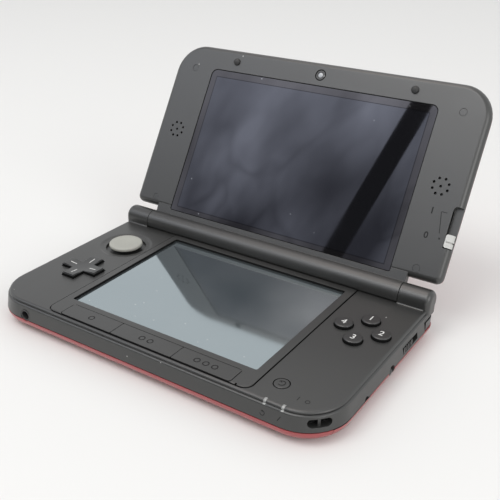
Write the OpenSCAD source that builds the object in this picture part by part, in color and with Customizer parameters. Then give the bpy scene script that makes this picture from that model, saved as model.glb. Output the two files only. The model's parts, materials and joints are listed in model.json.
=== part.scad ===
// Clamshell handheld game console, lid open.
// Right-handed frame, millimetres: +X right, +Y towards the hinge, +Z up.
// The origin is the centre of the flat underside that the console rests on.
// The lid is drawn in its own frame: X along the hinge, Y out along the lid, Z out of its screen side.

/* [Base] */
// Width of both halves at their seams
body_w = 156; // [150:0.5:166]
// Depth of the base, front to back
body_d = 93; // [90:0.5:98]
// Corner radius at the front, seen from above
front_corner_r = 17; // [10:0.5:20]
// Corner radius at the back, seen from above
rear_corner_r = 8; // [5:0.5:10]
// Height of the seam between the bottom cover and the upper housing
seam_z = 5.4; // [5:0.1:6]
// Height of the deck that the controls sit in
deck_z = 12.8; // [12.4:0.1:13.6]
// Rise of the raised frame round the touch screen
frame_rise = 0.4; // [0.2:0.05:0.8]
// Wall thickness of the bottom cover's floor
floor_t = 1.6; // [1.2:0.1:1.8]
// Thickness of the deck
deck_t = 1.5; // [1.2:0.1:1.6]
// Wall thickness of the upper housing, measured from the seam outline
housing_wall = 2.6; // [2.4:0.1:3]

/* [Touch screen] */
// Width of the deck on each side of the touch screen opening
side_band = 34.5; // [34:0.5:36]
// Depth of the touch screen opening
touch_d = 65.9; // [60:0.1:67]
// How far the touch panel lies below the raised frame
touch_recess = 1; // [0.8:0.1:1.4]
// Thickness of the touch panel
touch_panel_t = 1; // [0.7:0.1:1.2]
// Thickness of the lower display
touch_display_t = 2.4; // [1.8:0.1:2.6]

/* [Hinge] */
// Distance of the hinge axis behind the middle of the base
hinge_y = 41.35; // [41:0.05:41.6]
// Height of the hinge axis
hinge_z = 14.9; // [14.7:0.05:15.3]
// Opening angle of the lid as drawn
lid_angle = 121.5; // [90:0.5:150]
// Radius of the hinge barrel
barrel_r = 4.7; // [4.4:0.1:4.8]
// Length of each of the base's two hinge knuckles
knuckle_len = 13.1; // [11:0.1:17]
// Radius of the two hinge shafts
shaft_r = 1.5; // [1.2:0.1:1.8]
// Radial running clearance of the hinge shafts
shaft_clearance = 0.05; // [0.03:0.01:0.08]

/* [Lid] */
// Distance from the hinge axis to the lid's free edge
lid_len = 88; // [86:0.5:90]
// Distance from the hinge axis to the lid's lower corners
lid_start = 7.2; // [7:0.1:8]
// Overall thickness of the lid
lid_t = 7.1; // [6.8:0.1:8]
// Depth of the screen bezel's rim, from the screen side to the lid's seam
bezel_rim = 3.1; // [2.8:0.1:3.4]
// Offset of the lid's screen side from the hinge axis
face_offset = 0.1; // [0:0.05:0.2]
// Corner radius at the free edge
lid_corner_r = 14; // [8:0.5:18]
// Width of the bezel on each side of the upper window
window_side = 21.4; // [21:0.1:25]
// Start of the upper window, from the hinge axis
window_v0 = 6.9; // [6.8:0.1:9]
// Width of the bezel between the upper window and the lid's free edge
window_far = 10.8; // [10:0.1:14]
// Radius of the upper window's two far corners
window_corner_r = 3; // [1:0.1:4]
// Thickness of the upper window
window_t = 0.9; // [0.7:0.1:1]
// Distance of each speaker from the lid's side
speaker_in = 11.4; // [11:0.1:14]
// Distance of the speakers from the hinge axis
speaker_v = 45.2; // [44:0.2:50]
// Radius of the ring of speaker holes
speaker_ring_r = 3.4; // [2.8:0.1:3.8]
// Radius of one speaker hole
speaker_hole_r = 0.55; // [0.4:0.05:0.7]

/* [Controls] */
// Circle pad, distance from the side of the base
circle_pad_in = 18.7; // [18.4:0.1:19]
// Circle pad, place from front to back
circle_pad_y = 16; // [15:0.1:17]
// Radius of the circle pad's cap
circle_cap_r = 7.5; // [7:0.1:8]
// Travel of the circle pad each way
circle_travel = 2.5; // [2:0.1:2.5]
// Cross pad, distance from the side of the base
cross_pad_in = 18.8; // [18:0.1:20]
// Cross pad, place from front to back
cross_pad_y = -11.2; // [-12:0.1:-10.5]
// Length of the cross pad across two arms
cross_span = 18.4; // [17:0.2:20.4]
// Width of one arm of the cross pad
cross_arm = 6.4; // [5.6:0.1:7.4]
// Face buttons, distance of their centre from the side of the base
buttons_in = 16; // [15.6:0.1:17]
// Face buttons, place of their centre from front to back
buttons_y = 10.3; // [8:0.1:12]
// Distance of each face button from their centre
buttons_ring = 7.65; // [7.5:0.05:7.7]
// Radius of a face button's cap
button_r = 3.6; // [3.2:0.05:3.7]
// Height of the caps above the deck
cap_rise = 1.5; // [1:0.1:1.6]
// Distance of the row of front keys from each side of the touch screen opening
key_row_in = 4; // [3.5:0.1:6]
// Depth of the front keys
key_d = 7.6; // [6.8:0.1:7.8]
// Power button, distance from the side of the base
power_in = 23.7; // [22:0.1:24.5]
// Power button, place from front to back
power_y = -34.3; // [-35:0.1:-33.6]
// Radius of the power button
power_r = 2.8; // [2.4:0.1:3]

/* [Side parts] */
// Diameter of the stylus
stylus_d = 4; // [3.6:0.1:4.2]
// Length of the stylus
stylus_len = 96; // [84:1:100]
// Place of the stylus from front to back
stylus_y = 3; // [2:0.1:3.6]
// Width of the game card slot
card_slot_w = 34.4; // [33:0.1:36]
// Height of the game card slot
card_slot_h = 4.4; // [4.3:0.05:4.6]
// Radius of the audio socket's bore
audio_r = 1.8; // [1.7:0.05:1.9]
// Depth of the audio socket's bore
audio_depth = 14; // [12:0.5:15]
// Audio socket, distance from the side of the base
audio_in = 20.8; // [20:0.1:22.5]

/* [Fits] */
// Gap between a cap and its hole in the deck
cap_gap = 0.25; // [0.2:0.05:0.35]
// Gap between parts that lie side by side
part_gap = 0.2; // [0.15:0.05:0.25]

/* [Hidden] */
$fn = 48;
eps = 0.01;
corner_steps = 10;

// Heights in the base
frame_z = deck_z + frame_rise;
deck_under = deck_z - deck_t;
panel_top = frame_z - touch_recess;
panel_under = panel_top - touch_panel_t;
display_under = panel_under - touch_display_t;
tray_t = 0.6;
tray_under = display_under - tray_t;
board_t = 0.8;
board_top = tray_under - part_gap;
board_under = board_top - board_t;
membrane_t = 0.6;
membrane_top = board_top + membrane_t;
flange_t = 0.9;
flange_top = deck_under - 0.3;
cap_top = deck_z + cap_rise;

// Outlines in plan
half_w = body_w / 2;
half_d = body_d / 2;
touch_w = body_w - 2 * side_band;
frame_half_w = touch_w / 2 + 3.3;
frame_corner_r = 3.5;
frame_gap = 0.45;
frame_gap_depth = 0.5;
key_row_half = touch_w / 2 - key_row_in;
circle_pad_x = half_w - circle_pad_in;
cross_pad_x = half_w - cross_pad_in;
buttons_x = half_w - buttons_in;
power_x = half_w - power_in;
audio_x = half_w - audio_in;
frame_front = key_front() - 0.1;
function key_front() = -half_d + 3.05;
key_back = key_front() + key_d;
panel_margin = 1.2;
trough_clearance = 0.4;
trough_r = barrel_r + trough_clearance;
knuckle_gap = 0.3;
knuckle_end = half_w - 0.6;
barrel_half = knuckle_end - knuckle_len - knuckle_gap;
rear_top = 9.4;
rear_roof = rear_top - 1.1;

// Soft groove under the deck's rounded edge, and the wall that flares out to the seam
groove_z0 = deck_z - 1.45;
groove_z1 = deck_z - 0.85;
groove_inset = 1.95;
groove_lip = 0.35;
wall_top_inset = 0.85;
edge_low = 1.5;
edge_run = 1.1;

// Shadow gap along the seam between the housing and the bottom cover
seam_step = 0.35;
seam_in = 0.45;

// Lid frame
window_w = body_w - 2 * window_side;
window_v1 = lid_len - window_far;
speaker_x = half_w - speaker_in;
face_z = face_offset;
lid_seam = face_offset - bezel_rim;
lid_back = face_offset - lid_t;
bezel_t = 1.4;
bezel_run = 2.4;
cover_t = 1.4;

plastic_dark = "#4c4d4c";
plastic_black = "#1e1f20";
cover_red = "#a02a36";
pad_grey = "#adaea8";
metal_grey = "#9a9da0";
board_green = "#1d5a3c";
glass_dark = "#3a3d4a";

// ---------- shared shapes ----------

function arc_points(cx, cy, r, a0, a1) = [
  for (i = [0:corner_steps]) let (a = a0 + (a1 - a0) * i / corner_steps) [cx + r * cos(a), cy + r * sin(a)]
];

// Outline with one radius at its low-Y corners and one at its high-Y corners, drawn in by inset
function outline(hw, y0, y1, r0, r1, inset) =
  let (a = max(r0 - inset, 0.4), b = max(r1 - inset, 0.4), w = hw - inset, lo = y0 + inset, hi = y1 - inset)
  concat(
    arc_points(w - a, lo + a, a, -90, 0),
    arc_points(w - b, hi - b, b, 0, 90),
    arc_points(b - w, hi - b, b, 90, 180),
    arc_points(a - w, lo + a, a, 180, 270)
  );

function base_outline(inset) =
  outline(half_w, -half_d, half_d, front_corner_r, rear_corner_r, inset);

function lid_outline(inset) =
  outline(half_w, lid_start, lid_len, 3, lid_corner_r, inset);

// Solid through a list of [height, outline] sections
module stack(sections) {
  n = len(sections[0][1]);
  last = len(sections) - 1;
  points = [for (s = sections) for (p = s[1]) [p[0], p[1], s[0]]];
  sides = [
    for (j = [0:last - 1]) for (i = [0:n - 1])
      let (k = (i + 1) % n) [j * n + i, (j + 1) * n + i, (j + 1) * n + k, j * n + k]
  ];
  low_cap = [[for (i = [0:n - 1]) i]];
  high_cap = [[for (i = [n - 1:-1:0]) last * n + i]];
  polyhedron(points = points, faces = concat(sides, low_cap, high_cap));
}

module box(lo, hi) {
  translate(lo) cube(hi - lo);
}

module bar_x(x0, x1, r) {
  translate([x0, 0, 0]) rotate([0, 90, 0]) cylinder(r = r, h = x1 - x0);
}

// Plate with rounded corners in plan, centred
module round_plate(w, d, r, z0, z1) {
  translate([0, 0, z0]) linear_extrude(z1 - z0) union() {
    square([w - 2 * r, d], center = true);
    square([w, d - 2 * r], center = true);
    for (sx = [-1, 1], sy = [-1, 1]) translate([sx * (w / 2 - r), sy * (d / 2 - r)]) circle(r);
  }
}

module mirror_pair() {
  children();
  mirror([1, 0, 0]) children();
}

module lid_place() {
  translate([0, hinge_y, hinge_z]) rotate([180 - lid_angle, 0, 0]) children();
}

// ---------- base shells ----------

// Quarter ellipse, as an inset that shrinks from `reach` at the bottom to 0 at height `rise`
function ellipse_inset(z, rise, reach) = reach * (1 - sqrt(max(0, 1 - pow(1 - z / rise, 2))));

cover_reach = 8;
cover_steps = 8;

module cover_outer() {
  stack([
    for (i = [0:cover_steps])
      let (z = seam_z * (1 - cos(90 * i / cover_steps)))
      [z, base_outline(ellipse_inset(z, seam_z, cover_reach))]
  ]);
}

cover_wall = 1.5;

module cover_hollow() {
  hollow_rise = seam_z - floor_t;
  stack([
    for (i = [0:5])
      let (z = hollow_rise * (1 - cos(90 * i / 5)))
      [floor_t + z + (i == 5 ? eps : 0),
       base_outline(cover_wall + ellipse_inset(z, hollow_rise, cover_reach - 2.5))]
  ]);
}

edge_steps = 6;

module housing_outer() {
  edge_rise = deck_z - groove_z1;
  stack(concat(
    [
      [seam_z, base_outline(seam_in)],
      [seam_z + seam_step, base_outline(seam_in)],
      [seam_z + seam_step, base_outline(0)],
      [groove_z0 - groove_lip, base_outline(wall_top_inset)],
      [groove_z0, base_outline(wall_top_inset + 0.3)],
      [(groove_z0 + groove_z1) / 2, base_outline(groove_inset)],
      [groove_z1 - 0.05, base_outline(groove_inset)]
    ],
    [
      for (i = [0:edge_steps])
        let (a = 90 * i / edge_steps)
        [groove_z1 + edge_rise * sin(a), base_outline(edge_low + edge_run * (1 - cos(a)))]
    ]
  ));
}

// Raised frame round the touch screen and the front keys
module raised_frame() {
  frame_back = hinge_y - barrel_r;
  stack([
    for (s = [[0, 0], [0.6, 0.05], [1, 0.35]])
      [deck_z - eps + (frame_rise + eps) * s[0],
       outline(frame_half_w, frame_front, frame_back, frame_corner_r, 1, s[1])]
  ]);
}

// Shadow gap in the deck round the raised frame, open to the hinge trough
module frame_groove() {
  g = frame_gap;
  translate([0, 0, deck_z - frame_gap_depth]) linear_extrude(frame_gap_depth + 1) difference() {
    polygon(outline(frame_half_w + g, frame_front - g, hinge_y, frame_corner_r + g, 1, 0));
    polygon(outline(frame_half_w, frame_front, hinge_y + 1, frame_corner_r, 1, 0));
  }
}

boss_in = 12;
boss_front = -half_d + 9.5;
boss_back = half_d - 12.3;
cover_boss = [
  [-half_w + boss_in, boss_front], [half_w - boss_in - 7, boss_front - 3],
  [-half_w + boss_in, boss_back], [half_w - boss_in, boss_back]
];
boss_r = 2.3;
screw_r = 0.8;
screw_head_r = 1.6;
screw_head_t = 0.6;
screw_head_z = 0.55;

module at_bosses() {
  for (p = cover_boss) translate([p[0], p[1], 0]) children();
}

knuckle_round = 2.2;
knuckle_low = rear_top + 0.5;

// Section of a knuckle's foot in Y and Z from the hinge axis: a half round on straight sides
function knuckle_section(inset) = let (r = barrel_r - inset) concat(
  [for (i = [0:2 * corner_steps]) let (a = 90 * i / corner_steps) [r * cos(a), r * sin(a)]],
  [[-r, knuckle_low - hinge_z], [r, knuckle_low - hinge_z]]
);

module knuckle() {
  start = barrel_half + knuckle_gap;
  round_end = knuckle_round;
  length = knuckle_end - start;
  translate([start, hinge_y, hinge_z]) rotate([90, 0, 90]) rotate_extrude() union() {
    square([barrel_r, length - round_end]);
    square([barrel_r - round_end, length]);
    translate([barrel_r - round_end, length - round_end]) circle(round_end, $fn = 32);
  }
  // foot that carries the knuckle on the deck, with the same rounded end
  intersection() {
    translate([start, hinge_y, hinge_z]) rotate([90, 0, 90]) stack(concat(
      [[0, knuckle_section(0)]],
      [
        for (i = [0:edge_steps])
          let (a = 90 * i / edge_steps)
          [length - round_end * (1 - sin(a)), knuckle_section(round_end * (1 - cos(a)))]
      ]
    ));
    translate([0, 0, rear_top]) linear_extrude(hinge_z - rear_top)
      polygon(outline(half_w - 0.6, -half_d, half_d, 5, 4, 0));
  }
  // hollow sweep from the deck up to the foot
  translate([start, hinge_y - barrel_r, deck_z - eps]) rotate([90, 0, 90])
    linear_extrude(length - round_end)
      polygon([[-0.8, 0], [-0.4, 0.12], [-0.15, 0.35], [0, 0.75], [eps, 0.75], [eps, 0]]);
}

// Pocket at each rear corner for a shoulder button
shoulder_inner_x = half_w - 35;
shoulder_side_y = 33.5;
shoulder_depth = 5.6;
shoulder_z0 = seam_z;
shoulder_z1 = rear_top + 0.2;

// Strip round the right-hand rear corner, between two insets; it starts at x0 and ends at y0
module shoulder_band(inset_out, inset_in, x0, y0) {
  difference() {
    polygon(base_outline(inset_out));
    polygon(base_outline(inset_in));
    translate([-half_w - 1, -half_d - 1]) square([half_w + 1 + x0, body_d + 2]);
    translate([0, -half_d - 1]) square([half_w + 2, half_d + 1 + y0]);
  }
}

stylus_z = seam_z - 1;
stylus_r = stylus_d / 2;
stylus_head_in = 1.6;
silo_wall = 0.5;
silo_r = stylus_r + silo_wall + 0.1;
card_z0 = floor_t + 0.6;
card_z1 = card_z0 + card_slot_h;
card_x0 = -38;
card_x1 = card_x0 + card_slot_w;
card_depth = 33;
card_wall = 0.5;
card_back = half_d - 2.6 - card_depth;
card_shell_end = half_d - 4.6;
audio_z = seam_z + 2;
audio_body = 2.9;
charge_x0 = 20;
charge_x1 = 29;
charge_z0 = 2.6;
charge_z1 = 5.8;
infrared_x0 = 2;
infrared_x1 = 10;
infrared_z0 = 5.8;
infrared_z1 = 8.2;
volume_y0 = -36.5;
volume_y1 = -20.5;
volume_z = 8;
wireless_y0 = 13;
wireless_y1 = 26.4;
wireless_z = 7.9;
slot_half_h = 1.3;
door_y0 = -37.6;
door_y1 = -14.6;
door_z0 = 1.9;
strap_turn = 44.3;
strap_z = 8.9;
strap_h = 3;
strap_len = 8.4;
strap_deep = 3.6;
strap_post = 1;
light_x = [half_w - 23.8, half_w - 16.9];
light_w = 1.1;
light_z0 = groove_z0 - 0.1;
mic_x = frame_half_w - 4.9;
mic_y = -half_d + 3.2;
mic_port_r = 0.4;

// Holes that the housing and the bottom cover share along the seam
module edge_holes() {
  // stylus hole and its finger notch
  translate([half_w - 12, stylus_y, stylus_z]) rotate([0, 90, 0])
    cylinder(r = silo_r + 0.05, h = 11 - housing_wall);
  translate([half_w - 6, stylus_y, stylus_z]) rotate([0, 90, 0]) cylinder(r = stylus_r + 0.15, h = 8);
  translate([half_w - 1.6, stylus_y, stylus_z + 0.5]) rotate([0, 90, 0]) cylinder(r = stylus_r + 0.5, h = 4);
  // game card mouth, and the pocket that the slot's metal shell sits in
  box([card_x0, half_d - 12, card_z0], [card_x1, half_d + 1, card_z1]);
  box([card_x0 - card_wall - 0.05, half_d - 14, card_z0 - card_wall - 0.05],
      [card_x1 + card_wall + 0.05, card_shell_end + 0.1, card_z1 + card_wall + 0.05]);
  // charging port
  box([charge_x0 - 0.1, half_d - 9, charge_z0 - 0.1], [charge_x1 + 0.1, half_d + 1, charge_z1 + 0.1]);
  // audio socket
  translate([-audio_x, -half_d - 1, audio_z]) rotate([-90, 0, 0]) cylinder(r = audio_body - 0.4, h = 6);
}

// Post that a shoulder button turns on, standing on the cover
module shoulder_posts() {
  mirror_pair() translate([shoulder_pin[0], shoulder_pin[1], 0]) {
    translate([0, 0, 2.6]) cylinder(r = 1.6, h = seam_z - 2.6);
    translate([0, 0, 2.6]) cylinder(r = shoulder_pin_r, h = rear_top - 0.4 - 2.6);
  }
}

module base_cover() color(cover_red) {
  difference() {
    union() {
      difference() {
        cover_outer();
        cover_hollow();
      }
      intersection() {
        at_bosses() translate([0, 0, floor_t - eps]) cylinder(r = 2, h = seam_z - floor_t + eps);
        cover_outer();
      }
      shoulder_posts();
    }
    edge_holes();
    // memory card door
    box([half_w - 9, door_y0, door_z0], [half_w + 1, door_y1, seam_z + 1]);
    at_bosses() translate([0, 0, -1]) cylinder(r = screw_r + 0.1, h = 8);
    at_bosses() translate([0, 0, -1])
      cylinder(r = screw_head_r + part_gap, h = 1 + screw_head_z + screw_head_t);
  }
}

module key_hole_row() {
  translate([0, (key_front() + key_back) / 2, 0])
    round_plate(2 * (key_row_half + cap_gap), key_d + 2 * cap_gap, 1.2, deck_under - 1, frame_z + 1);
}

module cross_shape(span, arm) {
  square([span, arm], center = true);
  square([arm, span], center = true);
}

module housing_hollow() {
  low = seam_z - 1;
  rear_limit = hinge_y - trough_r - 1.3;
  // under the deck
  difference() {
    translate([0, 0, low]) linear_extrude(deck_under - low) polygon(base_outline(housing_wall));
    box([-half_w, rear_limit, rear_roof], [half_w, half_d + 1, deck_under + 1]);
  }
}

// Web that keeps the shoulder button's pocket apart from the inside
module shoulder_wall() {
  translate([0, 0, seam_z]) linear_extrude(rear_roof - seam_z + 0.5)
    shoulder_band(shoulder_depth, shoulder_depth + 1, shoulder_inner_x - 1, shoulder_side_y - 1);
}

module base_housing() color(plastic_dark) {
  difference() {
    union() {
      difference() {
        union() {
          housing_outer();
          raised_frame();
        }
        housing_hollow();
        // trough that the lid's barrel turns in
        trough_half = barrel_half + knuckle_gap;
        translate([0, hinge_y, hinge_z]) bar_x(-trough_half, trough_half, trough_r);
        box([-half_w - 1, hinge_y - 0.6, rear_top], [half_w + 1, half_d + 1, deck_z + 2]);
        box([-trough_half, hinge_y - 0.6, rear_top], [trough_half, half_d + 1, hinge_z]);
      }
      mirror_pair() knuckle();
      mirror_pair() shoulder_wall();
      at_bosses() translate([0, 0, seam_z]) cylinder(r = boss_r, h = deck_z - seam_z - 1);
      strap_block();
    }
    edge_holes();
    frame_groove();
    // touch screen opening and the step that holds the panel
    round_plate(touch_w, touch_d, 0.8, panel_top - 1, frame_z + 1);
    box([-panel_half_w() - 0.1, -panel_half_d() - 0.1, deck_under - 1],
        [panel_half_w() + 0.1, panel_half_d() + 0.1, panel_top]);
    key_hole_row();
    // circle pad: dished seat and opening
    translate([-circle_pad_x, circle_pad_y, 0]) {
      translate([0, 0, deck_z - 0.7])
        cylinder(r1 = circle_dish_r - 1.8, r2 = circle_dish_r, h = 0.7 + eps, $fn = 96);
      translate([0, 0, deck_under - 1]) cylinder(r = circle_hole_r, h = 4, $fn = 64);
    }
    translate([-cross_pad_x, cross_pad_y, deck_under - 1]) linear_extrude(4)
      cross_shape(cross_span + 2 * cross_gap, cross_arm + 2 * cross_gap);
    for (p = button_places) translate([p[0], p[1], deck_under - 1]) cylinder(r = button_r + cap_gap, h = 4);
    translate([power_x, power_y, deck_under - 1]) cylinder(r = power_r + cap_gap, h = 4);
    translate([mic_x, mic_y, deck_under - 1]) cylinder(r = mic_port_r, h = 4, $fn = 24);
    // light pipes
    for (x = light_x)
      box([x - light_w / 2, -half_d - 1, light_z0], [x + light_w / 2, key_front() + 0.2, deck_z + 1]);
    // volume slider on the left, wireless switch on the right
    box([-half_w - 1, volume_y0, volume_z - slot_half_h], [-half_w + 2, volume_y1, volume_z + slot_half_h]);
    box([-half_w - 1, volume_y0 + 2, volume_z - 0.8], [-half_w + 4, volume_y1 - 2, volume_z + 0.8]);
    box([half_w - 2, wireless_y0, wireless_z - slot_half_h],
        [half_w + 1, wireless_y1, wireless_z + slot_half_h]);
    box([half_w - 4, wireless_y0 + 1.5, wireless_z - 0.8],
        [half_w + 1, wireless_y1 - 1.5, wireless_z + 0.8]);
    // strap slot, either side of its post
    strap_place() strap_cut();
    // pockets of the shoulder buttons
    mirror_pair() translate([0, 0, shoulder_z0 - 1]) linear_extrude(shoulder_z1 - shoulder_z0 + 1)
      shoulder_band(-1, shoulder_depth, shoulder_inner_x, shoulder_side_y);
    // finger notch of the memory card door
    translate([half_w - 1.2, door_y1 - 3, seam_z - 0.2]) rotate([0, 90, 0]) cylinder(r = 1.6, h = 3);
    // infrared window
    box([infrared_x0, half_d - 4, infrared_z0], [infrared_x1, half_d + 1, infrared_z1]);
    // hinge cartridges and their shafts
    mirror_pair() translate([0, hinge_y, hinge_z])
      bar_x(barrel_half, knuckle_end - 2, cartridge_r + 0.02);
    at_bosses() translate([0, 0, seam_z - 1]) cylinder(r = screw_r + 0.02, h = 5);
  }
}

// The strap slot lies in the rounded front right-hand corner, along X of this frame
module strap_place() {
  translate([half_w - front_corner_r, -half_d + front_corner_r, strap_z])
    rotate([0, 0, -strap_turn]) translate([front_corner_r, 0, 0]) children();
}

// An oval pocket across the wall with a post left standing in its middle
module strap_cut() {
  half = strap_len / 2 - strap_h / 2;
  difference() {
    rotate([0, 90, 0]) translate([0, 0, -strap_deep]) union() {
      for (s = [-1, 1]) translate([0, s * half, 0]) cylinder(r = strap_h / 2, h = 10);
      translate([-strap_h / 2, -half, 0]) cube([strap_h, 2 * half, 10]);
    }
    translate([-strap_deep + 1, -strap_post / 2, -5]) cube([strap_post, strap_post, 10]);
  }
}

// Solid behind the pocket
module strap_block() {
  strap_place() translate([-strap_deep - 1, -strap_len / 2 - 0.6, seam_z - strap_z])
    cube([strap_deep - 1, strap_len + 1.2, deck_under - seam_z + 0.2]);
}

module cover_screws() color(metal_grey) {
  at_bosses() {
    translate([0, 0, screw_head_z]) cylinder(r = screw_head_r, h = screw_head_t);
    translate([0, 0, screw_head_z + screw_head_t - eps])
      cylinder(r = screw_r, h = seam_z + 2.3 - screw_head_z);
  }
}

// ---------- screen, boards and sockets in the base ----------

function panel_half_w() = touch_w / 2 + panel_margin;
function panel_half_d() = touch_d / 2 + panel_margin;

module touch_panel() color(glass_dark)
  box([-panel_half_w(), -panel_half_d(), panel_under],
      [panel_half_w(), panel_half_d(), panel_top]);

module touch_display() color(plastic_black)
  box([-panel_half_w() + 0.5, -panel_half_d() + 0.5, display_under],
      [panel_half_w() - 0.5, panel_half_d() - 0.5, panel_under]);

module display_tray() color(metal_grey) {
  wall = 0.3;
  hw = panel_half_w() - 0.5;
  hd = panel_half_d() - 0.5;
  difference() {
    box([-hw - wall, -hd - wall, tray_under], [hw + wall, hd + wall, panel_under - 0.4]);
    box([-hw, -hd, display_under], [hw, hd, panel_under + 1]);
  }
}

module main_board() color(board_green) {
  edge = housing_wall + 0.5;
  difference() {
    translate([0, 0, board_under]) linear_extrude(board_t) polygon(base_outline(edge));
    at_bosses() translate([0, 0, board_under - 1]) cylinder(r = boss_r + part_gap, h = 3);
    // cut-outs for the audio socket, the shoulder pockets and the slider controls
    box([-audio_x - audio_body - 0.3, -half_d, board_under - 1],
        [-audio_x + audio_body + 0.3, -half_d + 18, board_top + 1]);
    mirror_pair() translate([0, 0, board_under - 1]) linear_extrude(3)
      shoulder_band(-1, shoulder_depth + 1.3, shoulder_inner_x - 2, shoulder_side_y - 2);
    box([-half_w, volume_y0 - 1, board_under - 1], [-half_w + 9, volume_y1 + 1, board_top + 1]);
    box([half_w - 9, wireless_y0 - 1, board_under - 1], [half_w, wireless_y1 + 1, board_top + 1]);
    rear_cut = half_d - housing_wall - 1.2;
    box([-half_w, rear_cut, board_under - 1], [half_w, half_d, board_top + 1]);
    translate([0, 0, board_under - strap_z]) strap_place()
      box([-strap_deep - 1.3, -strap_len / 2 - 1, -1], [1, strap_len / 2 + 1, 3]);
  }
}

wireless_board_at = [half_w - 28, -30];
wireless_board_size = [16, 18];
wireless_can_size = [10, 10];
battery_at = [-15, -20.5];
battery_size = [58, 39];

module wireless_board() color(board_green)
  translate([wireless_board_at[0], wireless_board_at[1], board_top]) {
    cube([wireless_board_size[0], wireless_board_size[1], board_t]);
    translate([2, 2, board_t - eps]) cube([wireless_can_size[0], wireless_can_size[1], 1 + eps]);
  }

module battery() color(plastic_black)
  translate([battery_at[0], battery_at[1], 0])
    round_plate(battery_size[0], battery_size[1], 1.5, floor_t + part_gap, board_under - 0.4);

module game_card_slot() color(metal_grey) {
  difference() {
    box([card_x0 - card_wall, card_back, card_z0 - card_wall],
        [card_x1 + card_wall, card_shell_end, card_z1 + card_wall]);
    box([card_x0, card_back + 1.2, card_z0], [card_x1, half_d, card_z1]);
  }
  // contact strip at the closed end
  box([card_x0 + 3, card_back + 1.2 - eps, card_z0 + 0.2], [card_x1 - 3, card_back + 2, card_z0 + 1]);
}

card_top = seam_z - 0.9;
memory_card_t = 2.1;
memory_y0 = door_y0 + 0.6;
memory_w = 22;
memory_len = 29.8;
memory_x1 = half_w - 6.4;
memory_x0 = memory_x1 - memory_len;

module memory_card_slot() color(metal_grey) {
  difference() {
    box([memory_x0 - 1.2, memory_y0 - 0.5, card_top - memory_card_t - 0.3],
        [memory_x1 - 2, memory_y0 + memory_w + 0.5, card_top + 0.5]);
    box([memory_x0 - 0.2, memory_y0 - 0.1, card_top - memory_card_t - 0.1],
        [memory_x1, memory_y0 + memory_w + 0.1, card_top + 0.1]);
    // the floor of the slot is open under the card
    box([memory_x0 + 1.8, memory_y0 + 2, 0], [memory_x1, memory_y0 + memory_w - 2, card_top - 1]);
  }
}

module memory_card() color(plastic_black) {
  difference() {
    box([memory_x0, memory_y0, card_top - memory_card_t],
        [memory_x1, memory_y0 + memory_w, card_top]);
    // cut corner
    translate([memory_x0, memory_y0, 0]) rotate([0, 0, 45]) cube([5, 5, 20], center = true);
    // write lock notch
    box([memory_x1 - 12, memory_y0 - 1, card_top - 0.7], [memory_x1 - 9, memory_y0 + 0.6, card_top + 1]);
  }
}

module memory_card_door() color(cover_red) {
  intersection() {
    difference() {
      cover_outer();
      translate([0, 0, -1]) linear_extrude(20) polygon(base_outline(3.6));
    }
    box([half_w - 20, door_y0 + 0.15, door_z0 + 0.15], [half_w + 1, door_y1 - 0.15, seam_z - 0.1]);
  }
}

module charge_port() color(plastic_black) {
  difference() {
    box([charge_x0, half_d - 8.5, charge_z0], [charge_x1, half_d - 1.2, charge_z1]);
    box([charge_x0 + 0.8, half_d - 6, charge_z0 + 0.7], [charge_x1 - 0.8, half_d, charge_z1 - 0.7]);
  }
  for (i = [0:3])
    translate([charge_x0 + 1.5 + i * 1.7, half_d - 6.01, charge_z0 + 1.3]) cube([0.8, 3, 0.4]);
}

module infrared_window() color(plastic_black)
  intersection() {
    housing_outer();
    box([infrared_x0 + 0.05, half_d - 3.2, infrared_z0 + 0.05],
        [infrared_x1 - 0.05, half_d + 1, infrared_z1 - 0.05]);
  }

module audio_socket() color(plastic_black)
  translate([-audio_x, -half_d, audio_z]) difference() {
    union() {
      translate([0, 0.35, 0]) rotate([-90, 0, 0]) cylinder(r = audio_body - 0.5, h = audio_depth);
      box([-audio_body, housing_wall + part_gap, -audio_body + 0.3],
          [audio_body, audio_depth + 1.2, audio_body - 0.1]);
    }
    rotate([-90, 0, 0]) cylinder(r = audio_r, h = audio_depth + 0.35);
  }

module stylus_silo() color(plastic_black)
  translate([0, stylus_y, stylus_z]) difference() {
    bar_x(half_w - stylus_len - 4, half_w - housing_wall - 1.2, silo_r);
    bar_x(half_w - stylus_len - 2.6, half_w, stylus_r + 0.1);
  }

module stylus() color(plastic_dark)
  translate([half_w - stylus_head_in, stylus_y, stylus_z]) rotate([0, -90, 0]) rotate_extrude() union() {
    // rounded head, straight body, tapered neck and nib
    square([stylus_r, stylus_len - 9]);
    translate([0, 0]) intersection() {
      translate([0, stylus_r * 0.3]) circle(stylus_r);
      translate([0, -1.4]) square([stylus_r, 3]);
    }
    polygon([
      [0, stylus_len - 9 - eps], [stylus_r, stylus_len - 9 - eps],
      [stylus_r * 0.45, stylus_len - 3], [stylus_r * 0.4, stylus_len - 1.6], [0, stylus_len - 1.3]
    ]);
  }

module light_pipes() color(pad_grey)
  for (x = light_x) intersection() {
    housing_outer();
    box([x - light_w / 2 + 0.03, -half_d - 1, light_z0 + 0.03],
        [x + light_w / 2 - 0.03, key_front() + 0.15, deck_z + 1]);
  }

module microphone() color(metal_grey)
  translate([mic_x, mic_y, deck_under - 1.7]) difference() {
    translate([0, 0.85, 0]) cylinder(r = 1.35, h = 1.7);
    translate([0, 0, 1.2]) cylinder(r = mic_port_r, h = 1, $fn = 24);
  }

// ---------- controls ----------

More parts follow.
